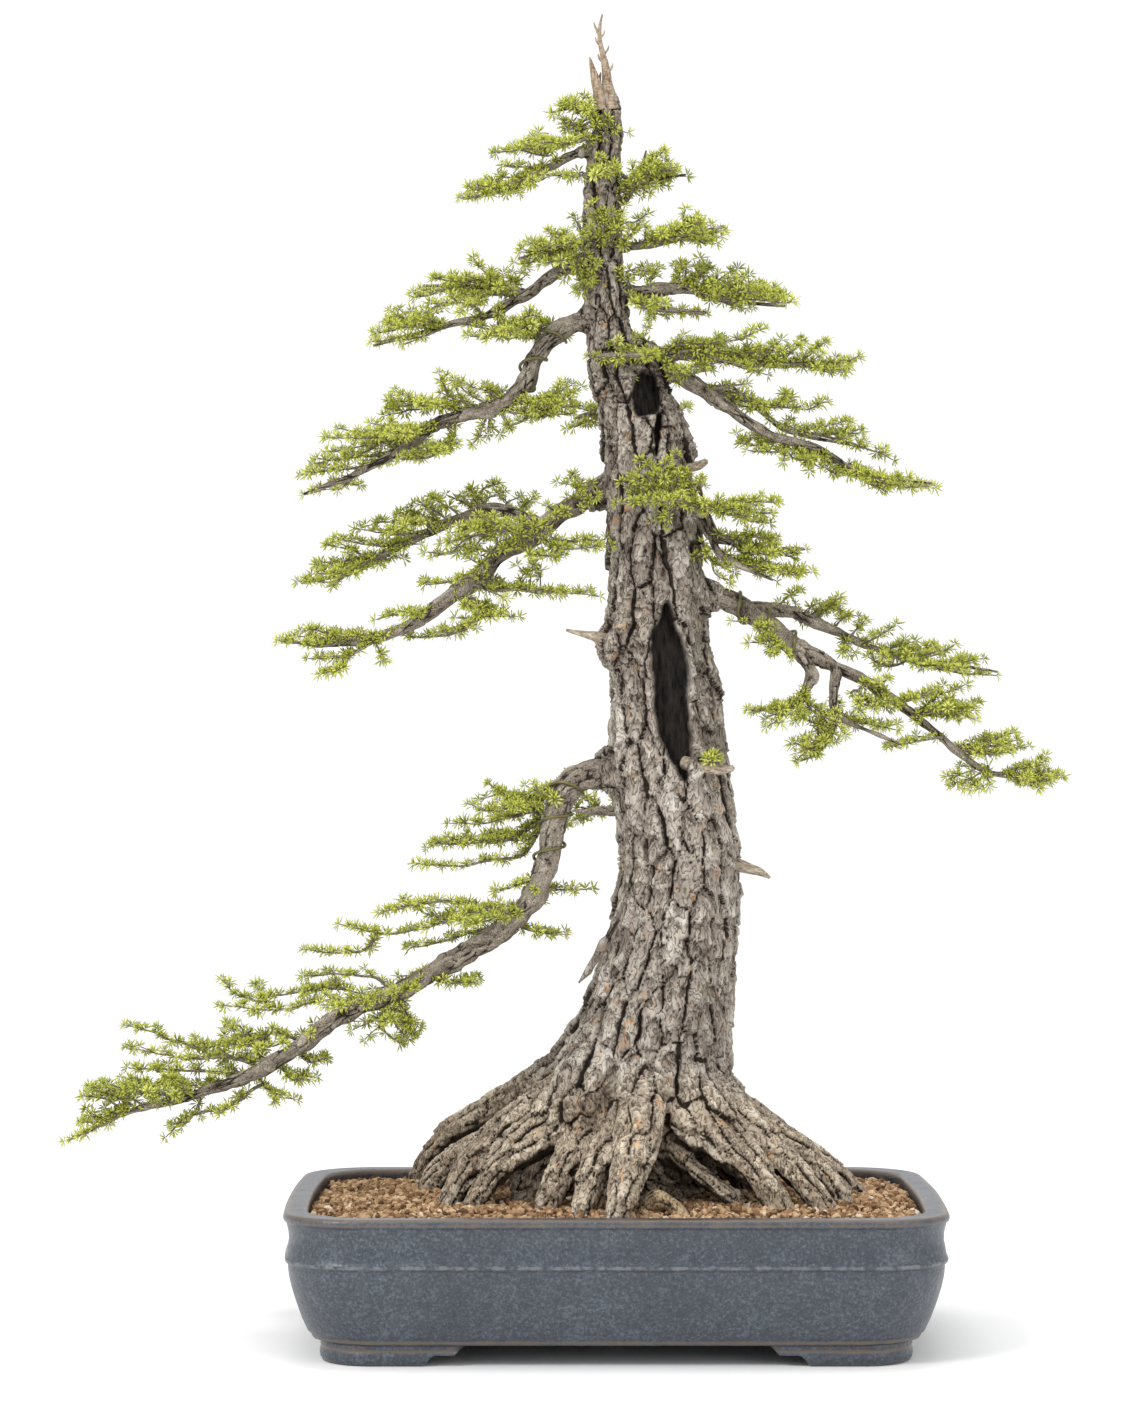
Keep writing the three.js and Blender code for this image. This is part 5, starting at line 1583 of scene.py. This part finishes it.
        return {
            "edge": (far - near) / 2 / np.maximum(weighed, 1e-6),
            "across": np.abs(along) / np.sqrt(length),
            "tone": rng.random(len(kept))[first],
            "lean": (offset * (lean[first] - self.plate_lift * lines[first])).sum(1),
        }

    def bark(self, points: Array, grain: Array, width: Array) -> tuple[Array, ...]:
        """Plates over cracks: each stands at its own level, leans its own way, climbs in ragged steps
        from its edge, and carries small flakes and fine noise.

        Args:
            points: the skin's points.
            grain: the grain's direction at each.
            width: the plates' width at each.

        Returns:
            The height in millimetres, the crack mark and the tone mark.
        """
        cell = self.plates(points, grain, width)
        scale = width / self.plate_width
        rag = cloud(points / 6.5, 3, 3) * 1.6 + cloud(points / 2.6, 4, 1) * 0.4
        edge = cell["edge"] / scale + rag * 0.6
        upper = smooth(points[:, 2], 210, 330) * 0.3 + smooth(points[:, 2], 400, 540) * 0.4
        reach = self.crack_width * (1 - 0.85 * cell["across"]) * (1 + 0.5 * cloud(points / 24, 9, 2) + upper)
        crack = 1 - smooth(edge, reach * 0.25, reach)
        climb = np.clip((edge - reach + rag * 1.5) / self.step_width, 0, 3.0)
        step = np.floor(climb) + smooth(climb - np.floor(climb), 0.0, 0.35)
        riser = (1 - smooth(climb - np.floor(climb), 0.0, 0.3)) * (climb > 0.02) * (climb < 2.99)
        along = (points * grain).sum(1)[:, None] * grain
        short = points - along * 0.5
        bent = short + np.stack([cloud(short / 7, 54 + k, 2) for k in range(3)], 1) * 2.6
        above, gap, tone = plates(bent / (self.flake_width * np.clip(scale, 0.7, 1.2)[:, None]), 50)
        flake = (1 - smooth(gap, 0.0, 0.14)) * (1 - crack)
        strip = cloud(short / 2.2, 70, 2)
        depth = self.crack_depth * (1 - 0.6 * cell["across"])
        height = (-crack * depth + (cell["tone"] - 0.5) * self.plate_rise + cell["lean"]
                  + step * self.step_rise + (tone - 0.5) * 1.3
                  - above * self.flake_lift - flake * 0.4 + strip * 0.35)
        # The crack mark also takes the step risers and the flakes' upper edges: painted shade under the
        # steps and under the flakes.
        mark = np.clip(crack + riser * 0.4 * (1 - crack) + flake * 0.45 * smooth(above, -0.1, 0.3), 0, 1)
        # The tone is lighter on higher steps, a painted highlight, darker towards the top of each flake
        # where it sinks under the next flake's edge, a painted shade, and darker towards the top of the
        # trunk.
        shade = (0.45 + (cell["tone"] - 0.5) * 0.35 + (tone - 0.5) * 0.4
                 + step * 0.06 - above * 0.3 - upper * 0.2)
        return height * np.clip(scale, 0.6, 1.1), mark, np.clip(shade, 0, 1)

    def hollow(self, points: Array, normals: Array) -> tuple[Array, Array]:
        """How deep in a hollow each point lies, from 0 to 1, and how much it is on the lip round it."""
        inside = np.zeros(len(points))
        lip = np.zeros(len(points))
        wobble = cloud(points / 9, 91, 2) * 2.2
        for rows in HOLLOWS:
            height, left, right = np.array(rows, float).T
            z = points[:, 2]
            reach = np.minimum(points[:, 0] - np.interp(z, height, left),
                               np.interp(z, height, right) - points[:, 0])
            ends = np.minimum(z - height[0], height[-1] - z) * 0.5
            reach = np.minimum(reach, ends) + wobble
            front = smooth(-normals[:, 1], 0.15, 0.5)
            inside = np.maximum(inside, smooth(reach, -0.3, 1.2) * front)
            lip = np.maximum(lip, smooth(reach, -9, -1) * front)
        return inside, lip * (1 - inside)

    def carve(self, points: Array, quads: Array) -> Skin:
        """Gives the bare skin its bark and hollows by moving each point along its own direction."""
        normals = self.normals(points, quads)
        rings = np.array(TRUNK_RINGS, float)
        girth = np.interp(points[:, 2], rings[:, 2], rings[:, 3])
        direction, root, thick = self.grain(points)
        width = self.plate_width * np.interp(girth, [12, 34, 60], [0.55, 1.0, 1.05])
        root_width = self.root_plate_width * np.interp(thick, [7, 16, 22], [0.7, 1.0, 1.2])
        width = width * (1 - root) + root_width * root
        height, crack, tone = self.bark(points, direction, width)
        inside, lip = self.hollow(points, normals)
        grain = cloud(points / [2.6, 2.6, 30], 44, 2)
        swell = cloud(points / [34, 34, 110], 45, 2) * 2.4 * smooth(girth, 14, 34) * (1 - root)
        height = height + swell + lip * 1.6
        level = np.percentile(height, self.silhouette)
        height = (height - level) * (1 - inside) + grain * 0.9 * inside
        points = points + normals * height[:, None]
        points[:, 1] += inside * self.hollow_depth
        skin = Skin(points, quads)
        buried = 1 - smooth(points[:, 2], -2, 9)
        # Points that face downwards near the foot are darkened through the crack mark: painted shade under
        # the roots, with some soil staining.
        under = smooth(-normals[:, 2], 0.2, 0.7) * (1 - smooth(points[:, 2], 35, 70))
        crack = np.maximum(crack, under * 0.85)
        skin.marks = {"crack": crack * (1 - inside), "tone": tone, "hollow": inside,
                      "pale": np.clip(root * 0.75 + 0.1 - buried * 0.5, 0, 1)}
        return skin

    @staticmethod
    def loops(starts: Array, stops: Array, count: int) -> Array:
        """Which loop of a cut each point lies on: neighbours take the lower of their two labels, and
        each label its own label's, until nothing changes.

        Args:
            starts: the first point of each edge of the cut.
            stops: its second point.
            count: how many points the piece has.

        Returns:
            A label for each point, the same all round a loop.
        """
        label = np.arange(count)
        before = None
        while before is None or (label != before).any():
            before = label.copy()
            lower = np.minimum(label[starts], label[stops])
            np.minimum.at(label, starts, lower)
            np.minimum.at(label, stops, lower)
            label = label[label]
        return label

    def parts(self, skin: Skin) -> list[tuple[Skin, Array]]:
        """The skin cut at the split levels, each loop of a cut closed by triangles to its own hub.

        Args:
            skin: the whole trunk.

        Returns:
            Each part and the whole skin's direction at each of its points.
        """
        normals = self.normals(skin.points, skin.quads)
        middle = skin.points[skin.quads, 2].mean(axis=1)
        made = []
        for part in range(len(self.split_levels) + 1):
            quads = skin.quads[np.digitize(middle, self.split_levels) == part]
            used, quads = np.unique(quads, return_inverse=True)
            quads = quads.reshape(-1, 4)
            count = len(used)
            starts, stops = quads.ravel(), np.roll(quads, -1, axis=1).ravel()
            open_side = ~np.isin(starts * count + stops, stops * count + starts)
            starts, stops = starts[open_side], stops[open_side]
            points = skin.points[used]
            marks = {name: values[used] for name, values in skin.marks.items()}
            facing = normals[used]
            _, loop = np.unique(self.loops(starts, stops, count)[starts], return_inverse=True)
            sums = np.stack([np.bincount(loop, points[starts, k]) for k in range(3)], 1)
            hubs = sums / np.bincount(loop)[:, None]
            upwards = np.sign(hubs[:, 2:] - (points[:, 2].min() + points[:, 2].max()) / 2)
            caps = np.stack([stops, starts, count + loop], 1)
            points = np.concatenate([points, hubs])
            facing = np.concatenate([facing, upwards * [[0.0, 0.0, 1.0]]])
            marks = {name: np.concatenate([values, np.zeros(len(hubs))]) for name, values in marks.items()}
            made.append((Skin(points, quads, caps, marks), facing))
        return made

    def build(self) -> None:
        """Makes the trunk, its dead top, its loose bark and the root in front of it."""
        points, quads = self.core()
        skin = self.carve(points, quads)
        for number, (part, facing) in enumerate(self.parts(skin)):
            part.points = self.shop.datum.place(part.points)
            self.shop.add(f"trunk_bark_{number + 1}", part, Finish.OLD_BARK, "trunk", normals=facing)
        limb = Limb(self.shop, step=1.0, scale_width=3.0, scale_depth=0.5, knot_depth=0.5)
        spikes = [limb.skin(rows, 300 + k, 1.6) for k, rows in enumerate(DEAD_TOP)]
        for spike in spikes:
            spike.marks["tone"] = spike.marks["tone"] * 0 + 0.35
        self.shop.add("dead_top", Skin.joined(spikes), Finish.DEADWOOD, "trunk")
        strips = [Limb(self.shop, step=1.2).skin(rows, 330 + k, 1.5) for k, rows in enumerate(LOOSE_BARK)]
        self.shop.add("loose_bark", Skin.joined(strips), Finish.OLD_BARK, "trunk")
        root = Limb(self.shop, step=1.2, scale_width=4.5, scale_depth=0.7).skin(FRONT_ROOT, 350, 1.0)
        root.marks["pale"] += 0.8
        self.shop.add("front_root_bark", root, Finish.ROOT_BARK, "front_root")
        for number, (name, rows) in enumerate(STUBS.items()):
            stub = Limb(self.shop, step=1.0, scale_width=2.6, scale_depth=0.35, knot_depth=0.5)
            skin = stub.skin(rows, 400 + number)
            skin.marks["tone"] *= 0.3
            skin.marks["crack"] *= 0.5
            self.shop.add(f"{name}_wood", skin, Finish.DEADWOOD, name)


# -------------------- branches

@dataclass
class Branch:
    """One branch with its forks, and its training wire if it has one. Sizes in millimetres."""

    shop: Workshop
    name: str
    routes: list[Rows]
    wire: float = 2.4
    pitch: float = 24.0

    def build(self) -> None:
        """Makes the limbs, and the wire."""
        limb = Limb(self.shop)
        seed = 500 + 10 * sorted(BRANCHES).index(self.name)
        limbs = [limb.skin(rows, seed + k) for k, rows in enumerate(self.routes)]
        self.shop.add(f"branch_{self.name}_bark", Skin.joined(limbs), Finish.BRANCH_BARK,
                      f"branch_{self.name}")
        if self.name in WIRED:
            self.shop.add(f"wire_{self.name}", self.coil(*WIRED[self.name]), Finish.BROWN_WIRE,
                          f"training_wire_{self.name}")

    def coil(self, start: float, stop: float) -> Skin:
        """The wire: a helix that stands off the limb's axis by the limb's radius and its own.

        Args:
            start: where it begins, as a share of the limb.
            stop: where it ends.

        Returns:
            The wire's surface.
        """
        path = Path.through(self.shop.datum.place(np.array(self.routes[0], float)), 1.0 * MM)
        low, high = (int(share * (len(path.spots) - 1)) for share in (start, stop))
        count = (high - low) * 2
        station = np.linspace(low, high, count)
        near = np.arange(len(path.spots))
        side, over = path.cross
        read = [np.stack([np.interp(station, near, values[:, k]) for k in range(3)], 1)
                for values in (path.spots, side, over)]
        radius = np.interp(station, near, path.radii) + self.wire / 2 * MM + 0.5 * MM
        turns = (high - low) * MM / (self.pitch * MM)
        angle = np.linspace(0, turns * 2 * np.pi, count)
        out = read[1] * np.cos(angle)[:, None] + read[2] * np.sin(angle)[:, None]
        spots = read[0] + out * radius[:, None]
        return tube(Path(spots, np.full(count, self.wire / 2 * MM)), 10)


# -------------------- foliage

@dataclass
class Foliage:
    """One pad of twigs and needle rosettes. Sizes in millimetres."""

    shop: Workshop
    spray: Spray
    shoot_gap: float = 14.0
    rosette_gap: float = 7.6
    shoot_length: tuple[float, float] = (9, 24)
    needle: float = 7.0
    needle_girth: float = 0.105
    needle_widest: float = 0.58
    below_share: float = 0.13
    tuft_growth: float = 1.25
    fan: float = 26.0
    variants: int = 5

    def __post_init__(self) -> None:
        """Seeds the pad's draws by its place in the list."""
        self.rng = np.random.default_rng(1000 + [spray.name for spray in SPRAYS].index(self.spray.name))

    def main_twigs(self) -> list[Array]:
        """The drawn twigs fanned in depth, and for two in three a copy turned to one side about its root.

        Returns:
            Rows of x, y, z, radius for each twig.
        """
        twigs = []
        lines = [np.array(line, float).reshape(-1, 2) for line in self.spray.twigs]
        lines += self.between_twigs(lines)
        for number, flat in enumerate(lines):
            run = run_along(flat)
            share = run / run[-1]
            swing = ((number * GOLDEN_SHARE + 0.31) % 1.0) * 2 - 1
            reach = min(self.fan, run[-1] * 0.55)
            depth = self.spray.depth + swing * reach * share ** 1.2
            radius = np.interp(share, [0, 1], [min(1.5, 0.7 + run[-1] / 110), 0.42])
            rows = np.column_stack([flat[:, 0], depth, flat[:, 1], radius])
            twigs.append(rows)
            if number % 3 == 2:
                continue
            angle = np.radians(self.rng.uniform(32, 70)) * (-1 if swing > 0 else 1)
            offset = (rows[:, :3] - rows[0, :3]) * self.rng.uniform(0.7, 0.95)
            turned = offset.copy()
            turned[:, 0] = offset[:, 0] * np.cos(angle) - offset[:, 1] * np.sin(angle)
            turned[:, 1] = offset[:, 0] * np.sin(angle) + offset[:, 1] * np.cos(angle)
            turned[:, 2] *= self.rng.uniform(0.75, 1.0)
            twigs.append(np.column_stack([rows[0, :3] + turned, radius * 0.9]))
        return self.joined(twigs)

    @staticmethod
    def joined(twigs: list[Array]) -> list[Array]:
        """Each twig led back from its root to the nearest point on a limb or on a twig before it,
        where distance in depth counts for half."""
        rows = itertools.chain.from_iterable(BRANCHES.values())
        wood = np.concatenate([Path.through(np.array(row, float), 4.0).spots for row in rows])
        weight = np.array([1.0, 0.5, 1.0])
        led = []
        for rows in twigs:
            nearest = wood[np.argmin(np.linalg.norm((wood - rows[0, :3]) * weight, axis=1))]
            if np.linalg.norm(nearest - rows[0, :3]) > 2.0:
                rows = np.concatenate([[[*nearest, rows[0, 3]]], rows])
            led.append(rows)
            wood = np.concatenate([wood, Path.through(rows, 4.0).spots])
        return led

    @staticmethod
    def between_twigs(lines: list[Array]) -> list[Array]:
        """A twig half way between each drawn one and the next, if their roots and tips lie near."""
        made = []
        share = np.linspace(0, 1, 5)
        for first, second in zip(lines, lines[1:]):
            read = []
            for line in (first, second):
                run = run_along(line)
                read.append(np.stack([np.interp(share * run[-1], run, line[:, k]) for k in (0, 1)], 1))
            root, tip = (float(np.linalg.norm(read[0][end] - read[1][end])) for end in (0, -1))
            if root < 40 and 9 < tip < 42:
                made.append((read[0] + read[1]) / 2)
        return made

    def side_twigs(self, twigs: list[Path]) -> list[Array]:
        """Short shoots left and right of each twig in turn, shorter towards its tip, each leaving at
        half a right angle or more and lifting a little."""
        shoots = []
        for path in twigs:
            count = int(path.length / MM / self.shoot_gap)
            for number in range(1, count + 1):
                share = number * self.shoot_gap * MM / path.length
                if share > 0.93:
                    continue
                place, heading, radius = path.at(share)
                flat = np.array([heading[1], -heading[0], 0.0]) * (1 if number % 2 else -1)
                flat /= max(float(np.linalg.norm(flat)), 1e-6)
                spread = np.radians(self.rng.uniform(40, 75))
                lift = self.rng.uniform(-0.08, 0.34)
                direction = heading * np.cos(spread) + flat * np.sin(spread) + np.array([0, 0, lift])
                direction /= np.linalg.norm(direction)
                length = self.rng.uniform(*self.shoot_length) * (1.1 - 0.6 * share) * MM
                bend = heading * 0.25 + np.array([0, 0, self.rng.uniform(-0.1, 0.2)])
                middle = place + direction * length * 0.5
                tip = middle + (direction + bend) / np.linalg.norm(direction + bend) * length * 0.5
                shoots.append(np.array([[*place, radius * 0.7], [*middle, radius * 0.6], [*tip, 0.45 * MM]]))
        return shoots

    def rosette(self, variant: int) -> tuple[Skin, Array]:
        """One rosette: needles spread over a dome by the golden angle. Each is three-sided, pointed at
        both ends and widest part way along, where it bends slightly outwards.

        Args:
            variant: picks how many needles there are and how they lie.

        Returns:
            The surface in needle lengths with the bud along +Z, and how far each point is along its needle.
        """
        rng = np.random.default_rng(70 + variant)
        count = 12 + 2 * (variant % 3)
        index = np.arange(count)
        tilt = np.radians(8 + 80 * np.sqrt((index + 0.5) / count) + rng.uniform(-8, 8, count))
        azimuth = index * GOLDEN_ANGLE + rng.uniform(-0.25, 0.25, count)
        out = np.stack([np.cos(azimuth), np.sin(azimuth), np.zeros(count)], 1)
        up = np.array([0.0, 0.0, 1.0])
        direction = out * np.sin(tilt)[:, None] + up * np.cos(tilt)[:, None]
        side = unit(np.cross(direction, up + 0.01))
        over = np.cross(direction, side)
        length = rng.uniform(0.75, 1.08, count)[:, None, None]
        turn = np.radians([90, 210, 330])
        ring = (side[:, None] * np.cos(turn)[None, :, None]
                + over[:, None] * np.sin(turn)[None, :, None] * 0.7)
        spine = direction[:, None]
        base = spine * 0.05
        middle = spine * length * self.needle_widest + ring * self.needle_girth + over[:, None] * 0.03
        tip = spine * length + over[:, None] * 0.07
        points = np.concatenate([base, middle, tip], axis=1)
        tris = np.array([(0, 2, 1), (0, 3, 2), (0, 1, 3), (1, 2, 4), (2, 3, 4), (3, 1, 4)])
        starts = (np.arange(count) * 5)[:, None, None]
        skin = Skin(points.reshape(-1, 3), tris=(tris + starts).reshape(-1, 3))
        along = np.tile([0, 0.55, 0.55, 0.55, 1.0], count)
        return skin, along

    def buds(self, twigs: list[Path]) -> tuple[Array, Array, Array]:
        """Where the rosettes sit: spaced along every twig, mostly on top and some at the sides and
        below, and one at each tip.

        Returns:
            Places, directions and needle lengths.
        """
        places, directions, sizes = [], [], []
        up = np.array([0.0, 0.0, 1.0])
        for path in twigs:
            count = max(1, int(path.length / MM / self.rosette_gap))
            for number in range(count + 1):
                share = min(1.0, (number + self.rng.uniform(0.15, 0.75)) / (count + 0.2))
                if number == count:
                    share = 1.0
                place, heading, radius = path.at(share)
                side = np.cross(heading, up)
                side /= max(float(np.linalg.norm(side)), 1e-6)
                roll = self.rng.normal(0, 0.75) + (np.pi if self.rng.random() < self.below_share else 0.0)
                over = np.cross(side, heading)
                direction = over * np.cos(roll) + side * np.sin(roll) + heading * 0.35
                if share == 1.0:
                    direction = heading + over * 0.3
                direction /= np.linalg.norm(direction)
                places.append(place + direction * radius * 0.8)
                directions.append(direction)
                sizes.append(self.needle * self.rng.uniform(0.78, 1.16))
        return np.array(places), np.array(directions), np.array(sizes)

    def needles(self, places: Array, directions: Array, sizes: Array) -> Skin:
        """A rosette at every bud: the template turned to the bud's direction, spun and sized.

        Args:
            places: the buds, in the frame.
            directions: which way each faces.
            sizes: the needles' length in millimetres.

        Returns:
            One surface of them all.
        """
        count = len(places)
        variant = self.rng.integers(0, self.variants, count)
        spin = self.rng.uniform(0, 2 * np.pi, count)
        tone = np.clip(self.rng.normal(0.52, 0.22, count), 0, 1)
        helper = np.where(np.abs(directions[:, 2:]) < 0.9, [[0.0, 0.0, 1.0]], [[1.0, 0.0, 0.0]])
        first = unit(np.cross(helper, directions))
        second = np.cross(directions, first)
        turned = first * np.cos(spin)[:, None] + second * np.sin(spin)[:, None]
        other = np.cross(directions, turned)
        skins = []
        for kind in range(self.variants):
            chosen = variant == kind
            amount = int(chosen.sum())
            if not amount:
                continue
            template, along = self.rosette(kind)
            frames = np.stack([turned[chosen], other[chosen], directions[chosen]], axis=1)
            points = np.einsum("vk,nkj->nvj", template.points, frames) * sizes[chosen][:, None, None] * MM
            points += places[chosen][:, None]
            starts = (np.arange(amount) * len(template.points))[:, None, None]
            skins.append(Skin(
                points.reshape(-1, 3), (template.quads + starts).reshape(-1, 4),
                (template.tris + starts).reshape(-1, 3),
                {"tone": np.repeat(tone[chosen], len(template.points)), "along": np.tile(along, amount)}))
        return Skin.joined(skins)

    def tuft(self, name: str, rows: Rows, node: str) -> None:
        """A few rosettes that grow straight from old wood.

        Args:
            name: the piece's name.
            rows: each rosette's place and direction.
            node: the CAD node that it belongs to.
        """
        table = np.array(rows, float)
        sizes = np.full(len(table), self.needle * self.tuft_growth)
        skin = self.needles(self.shop.datum.place(table[:, :3]), unit(table[:, 3:]), sizes)
        self.shop.add(name, skin, Finish.NEEDLES, node)

    def build(self) -> int:
        """Makes the pad's twigs and needles, and gives how many rosettes it has."""
        datum = self.shop.datum
        main = [Path.through(datum.place(rows), 3 * MM) for rows in self.main_twigs()]
        for path in main:
            sway = np.stack([cloud(path.spots / (9 * MM), 60 + k, 2) for k in range(3)], 1)
            path.spots = path.spots + sway * 1.1 * MM
        shoots = [Path.through(rows, 4 * MM) for rows in self.side_twigs(main)]
        skins = [tube(path, 6) for path in main] + [tube(path, 4) for path in shoots]
        twigs = Skin.joined(skins)
        tone = cloud(twigs.points / (5 * MM), 80, 2) * 0.4 + 0.42
        blank = np.zeros(len(tone))
        twigs.marks = {"crack": blank + 0.22, "tone": tone, "hollow": blank, "pale": blank}
        node = f"foliage_{self.spray.name}"
        self.shop.add(f"twigs_{self.spray.name}", twigs, Finish.BRANCH_BARK, node)
        places, directions, sizes = self.buds(main + shoots)
        skin = self.needles(places, directions, sizes)
        self.shop.add(f"needles_{self.spray.name}", skin, Finish.NEEDLES, node)
        return len(places)


# -------------------- studio

@dataclass
class Studio:
    """The floor, the lights and the camera, in metres."""

    camera_distance: float = 2.930
    camera_height: float = 0.4635
    lens: float = 103.02
    camera_side: float = 0.0004
    room_light: float = 0.95
    sweep_radius: float = 1.6
    floor_back: float = 3.0

    def sweep(self) -> None:
        """A pale floor that curves up behind the object: a flat run, a quarter circle and a wall."""
        turn = np.linspace(0, np.pi / 2, 24)
        radius = self.sweep_radius
        sweep = np.stack([self.floor_back + radius * np.sin(turn), radius * (1 - np.cos(turn))], 1)
        line = np.concatenate([[[-6.0, 0.0]], sweep, [[self.floor_back + radius, 6.0]]])
        across = np.array([-7.0, 7.0])
        points = np.stack([np.broadcast_to(across, (len(line), 2)), np.repeat(line[:, :1], 2, 1),
                           np.repeat(line[:, 1:], 2, 1)], -1)
        skin = Skin(points.reshape(-1, 3), grid_faces(len(line), 2, closed=False)[:, ::-1])
        floor = bpy.data.objects.new("sweep", skin.mesh("sweep"))
        show(floor)
        recipe = Recipe("pale_paper")
        shade = recipe.mix(recipe.noise(3, 2), (0.93, 0.93, 0.93), (0.95, 0.95, 0.95))
        floor.data.materials.append(recipe.finish(
            Base_Color=shade, Roughness=0.9, Specular_IOR_Level=0.0))

    def lights(self) -> None:
        """A white room, a large soft key from the upper left, a weaker fill and a top light."""
        world = bpy.data.worlds.new("white_room")
        world.use_nodes = True
        backing = world.node_tree.nodes["Background"]
        backing.inputs["Color"].default_value = (1, 1, 1, 1)
        backing.inputs["Strength"].default_value = self.room_light
        bpy.context.scene.world = world
        for name, place, size, power in (
                ("key", (-1.9, -2.2, 2.6), 1.1, 62.0), ("fill", (2.4, -2.4, 1.3), 2.0, 18.0),
                ("top", (0.0, 0.1, 3.0), 1.6, 26.0)):
            lamp = bpy.data.lights.new(name, "AREA")
            lamp.shape = "SQUARE"
            lamp.size = size
            lamp.energy = power
            light = bpy.data.objects.new(name, lamp)
            light.location = place
            aim = np.array([0.0, 0.0, 0.4]) - np.array(place)
            light.rotation_euler = Vector(aim).to_track_quat("-Z", "Y").to_euler()
            show(light)

    def camera(self) -> None:
        """A level camera in front of the object's middle."""
        lens = bpy.data.cameras.new("camera")
        lens.lens = self.lens
        camera = bpy.data.objects.new("camera", lens)
        camera.location = (self.camera_side, -self.camera_distance, self.camera_height)
        camera.rotation_euler = (np.pi / 2, 0, 0)
        show(camera)
        bpy.context.scene.camera = camera

    def build(self) -> None:
        """Sets up the studio."""
        bpy.context.scene.view_settings.view_transform = "Standard"
        self.camera()
        self.sweep()
        self.lights()


def main() -> None:
    """Builds every part in order."""
    logging.basicConfig(level=logging.INFO, format="%(name)s %(message)s")
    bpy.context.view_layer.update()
    Studio().build()
    shop = Workshop(Datum.from_frame())
    Pot(shop).build()
    Soil(shop).build()
    Trunk(shop).build()
    for name, routes in BRANCHES.items():
        Branch(shop, name, routes).build()
    total = sum(Foliage(shop, spray).build() for spray in SPRAYS)
    Foliage(shop, SPRAYS[0]).tuft("needles_stub_tuft", STUB_TUFT, "jin_right_collar")
    LOG.info("%d rosettes", total)
    shop.dress(Finish.MESH, "drain_screen_left", "drain_screen_right")
    shop.dress(Finish.PLAIN_WIRE, "screen_clip_left", "screen_clip_right", "tie_wire")
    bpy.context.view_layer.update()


if __name__ == "__main__":
    main()
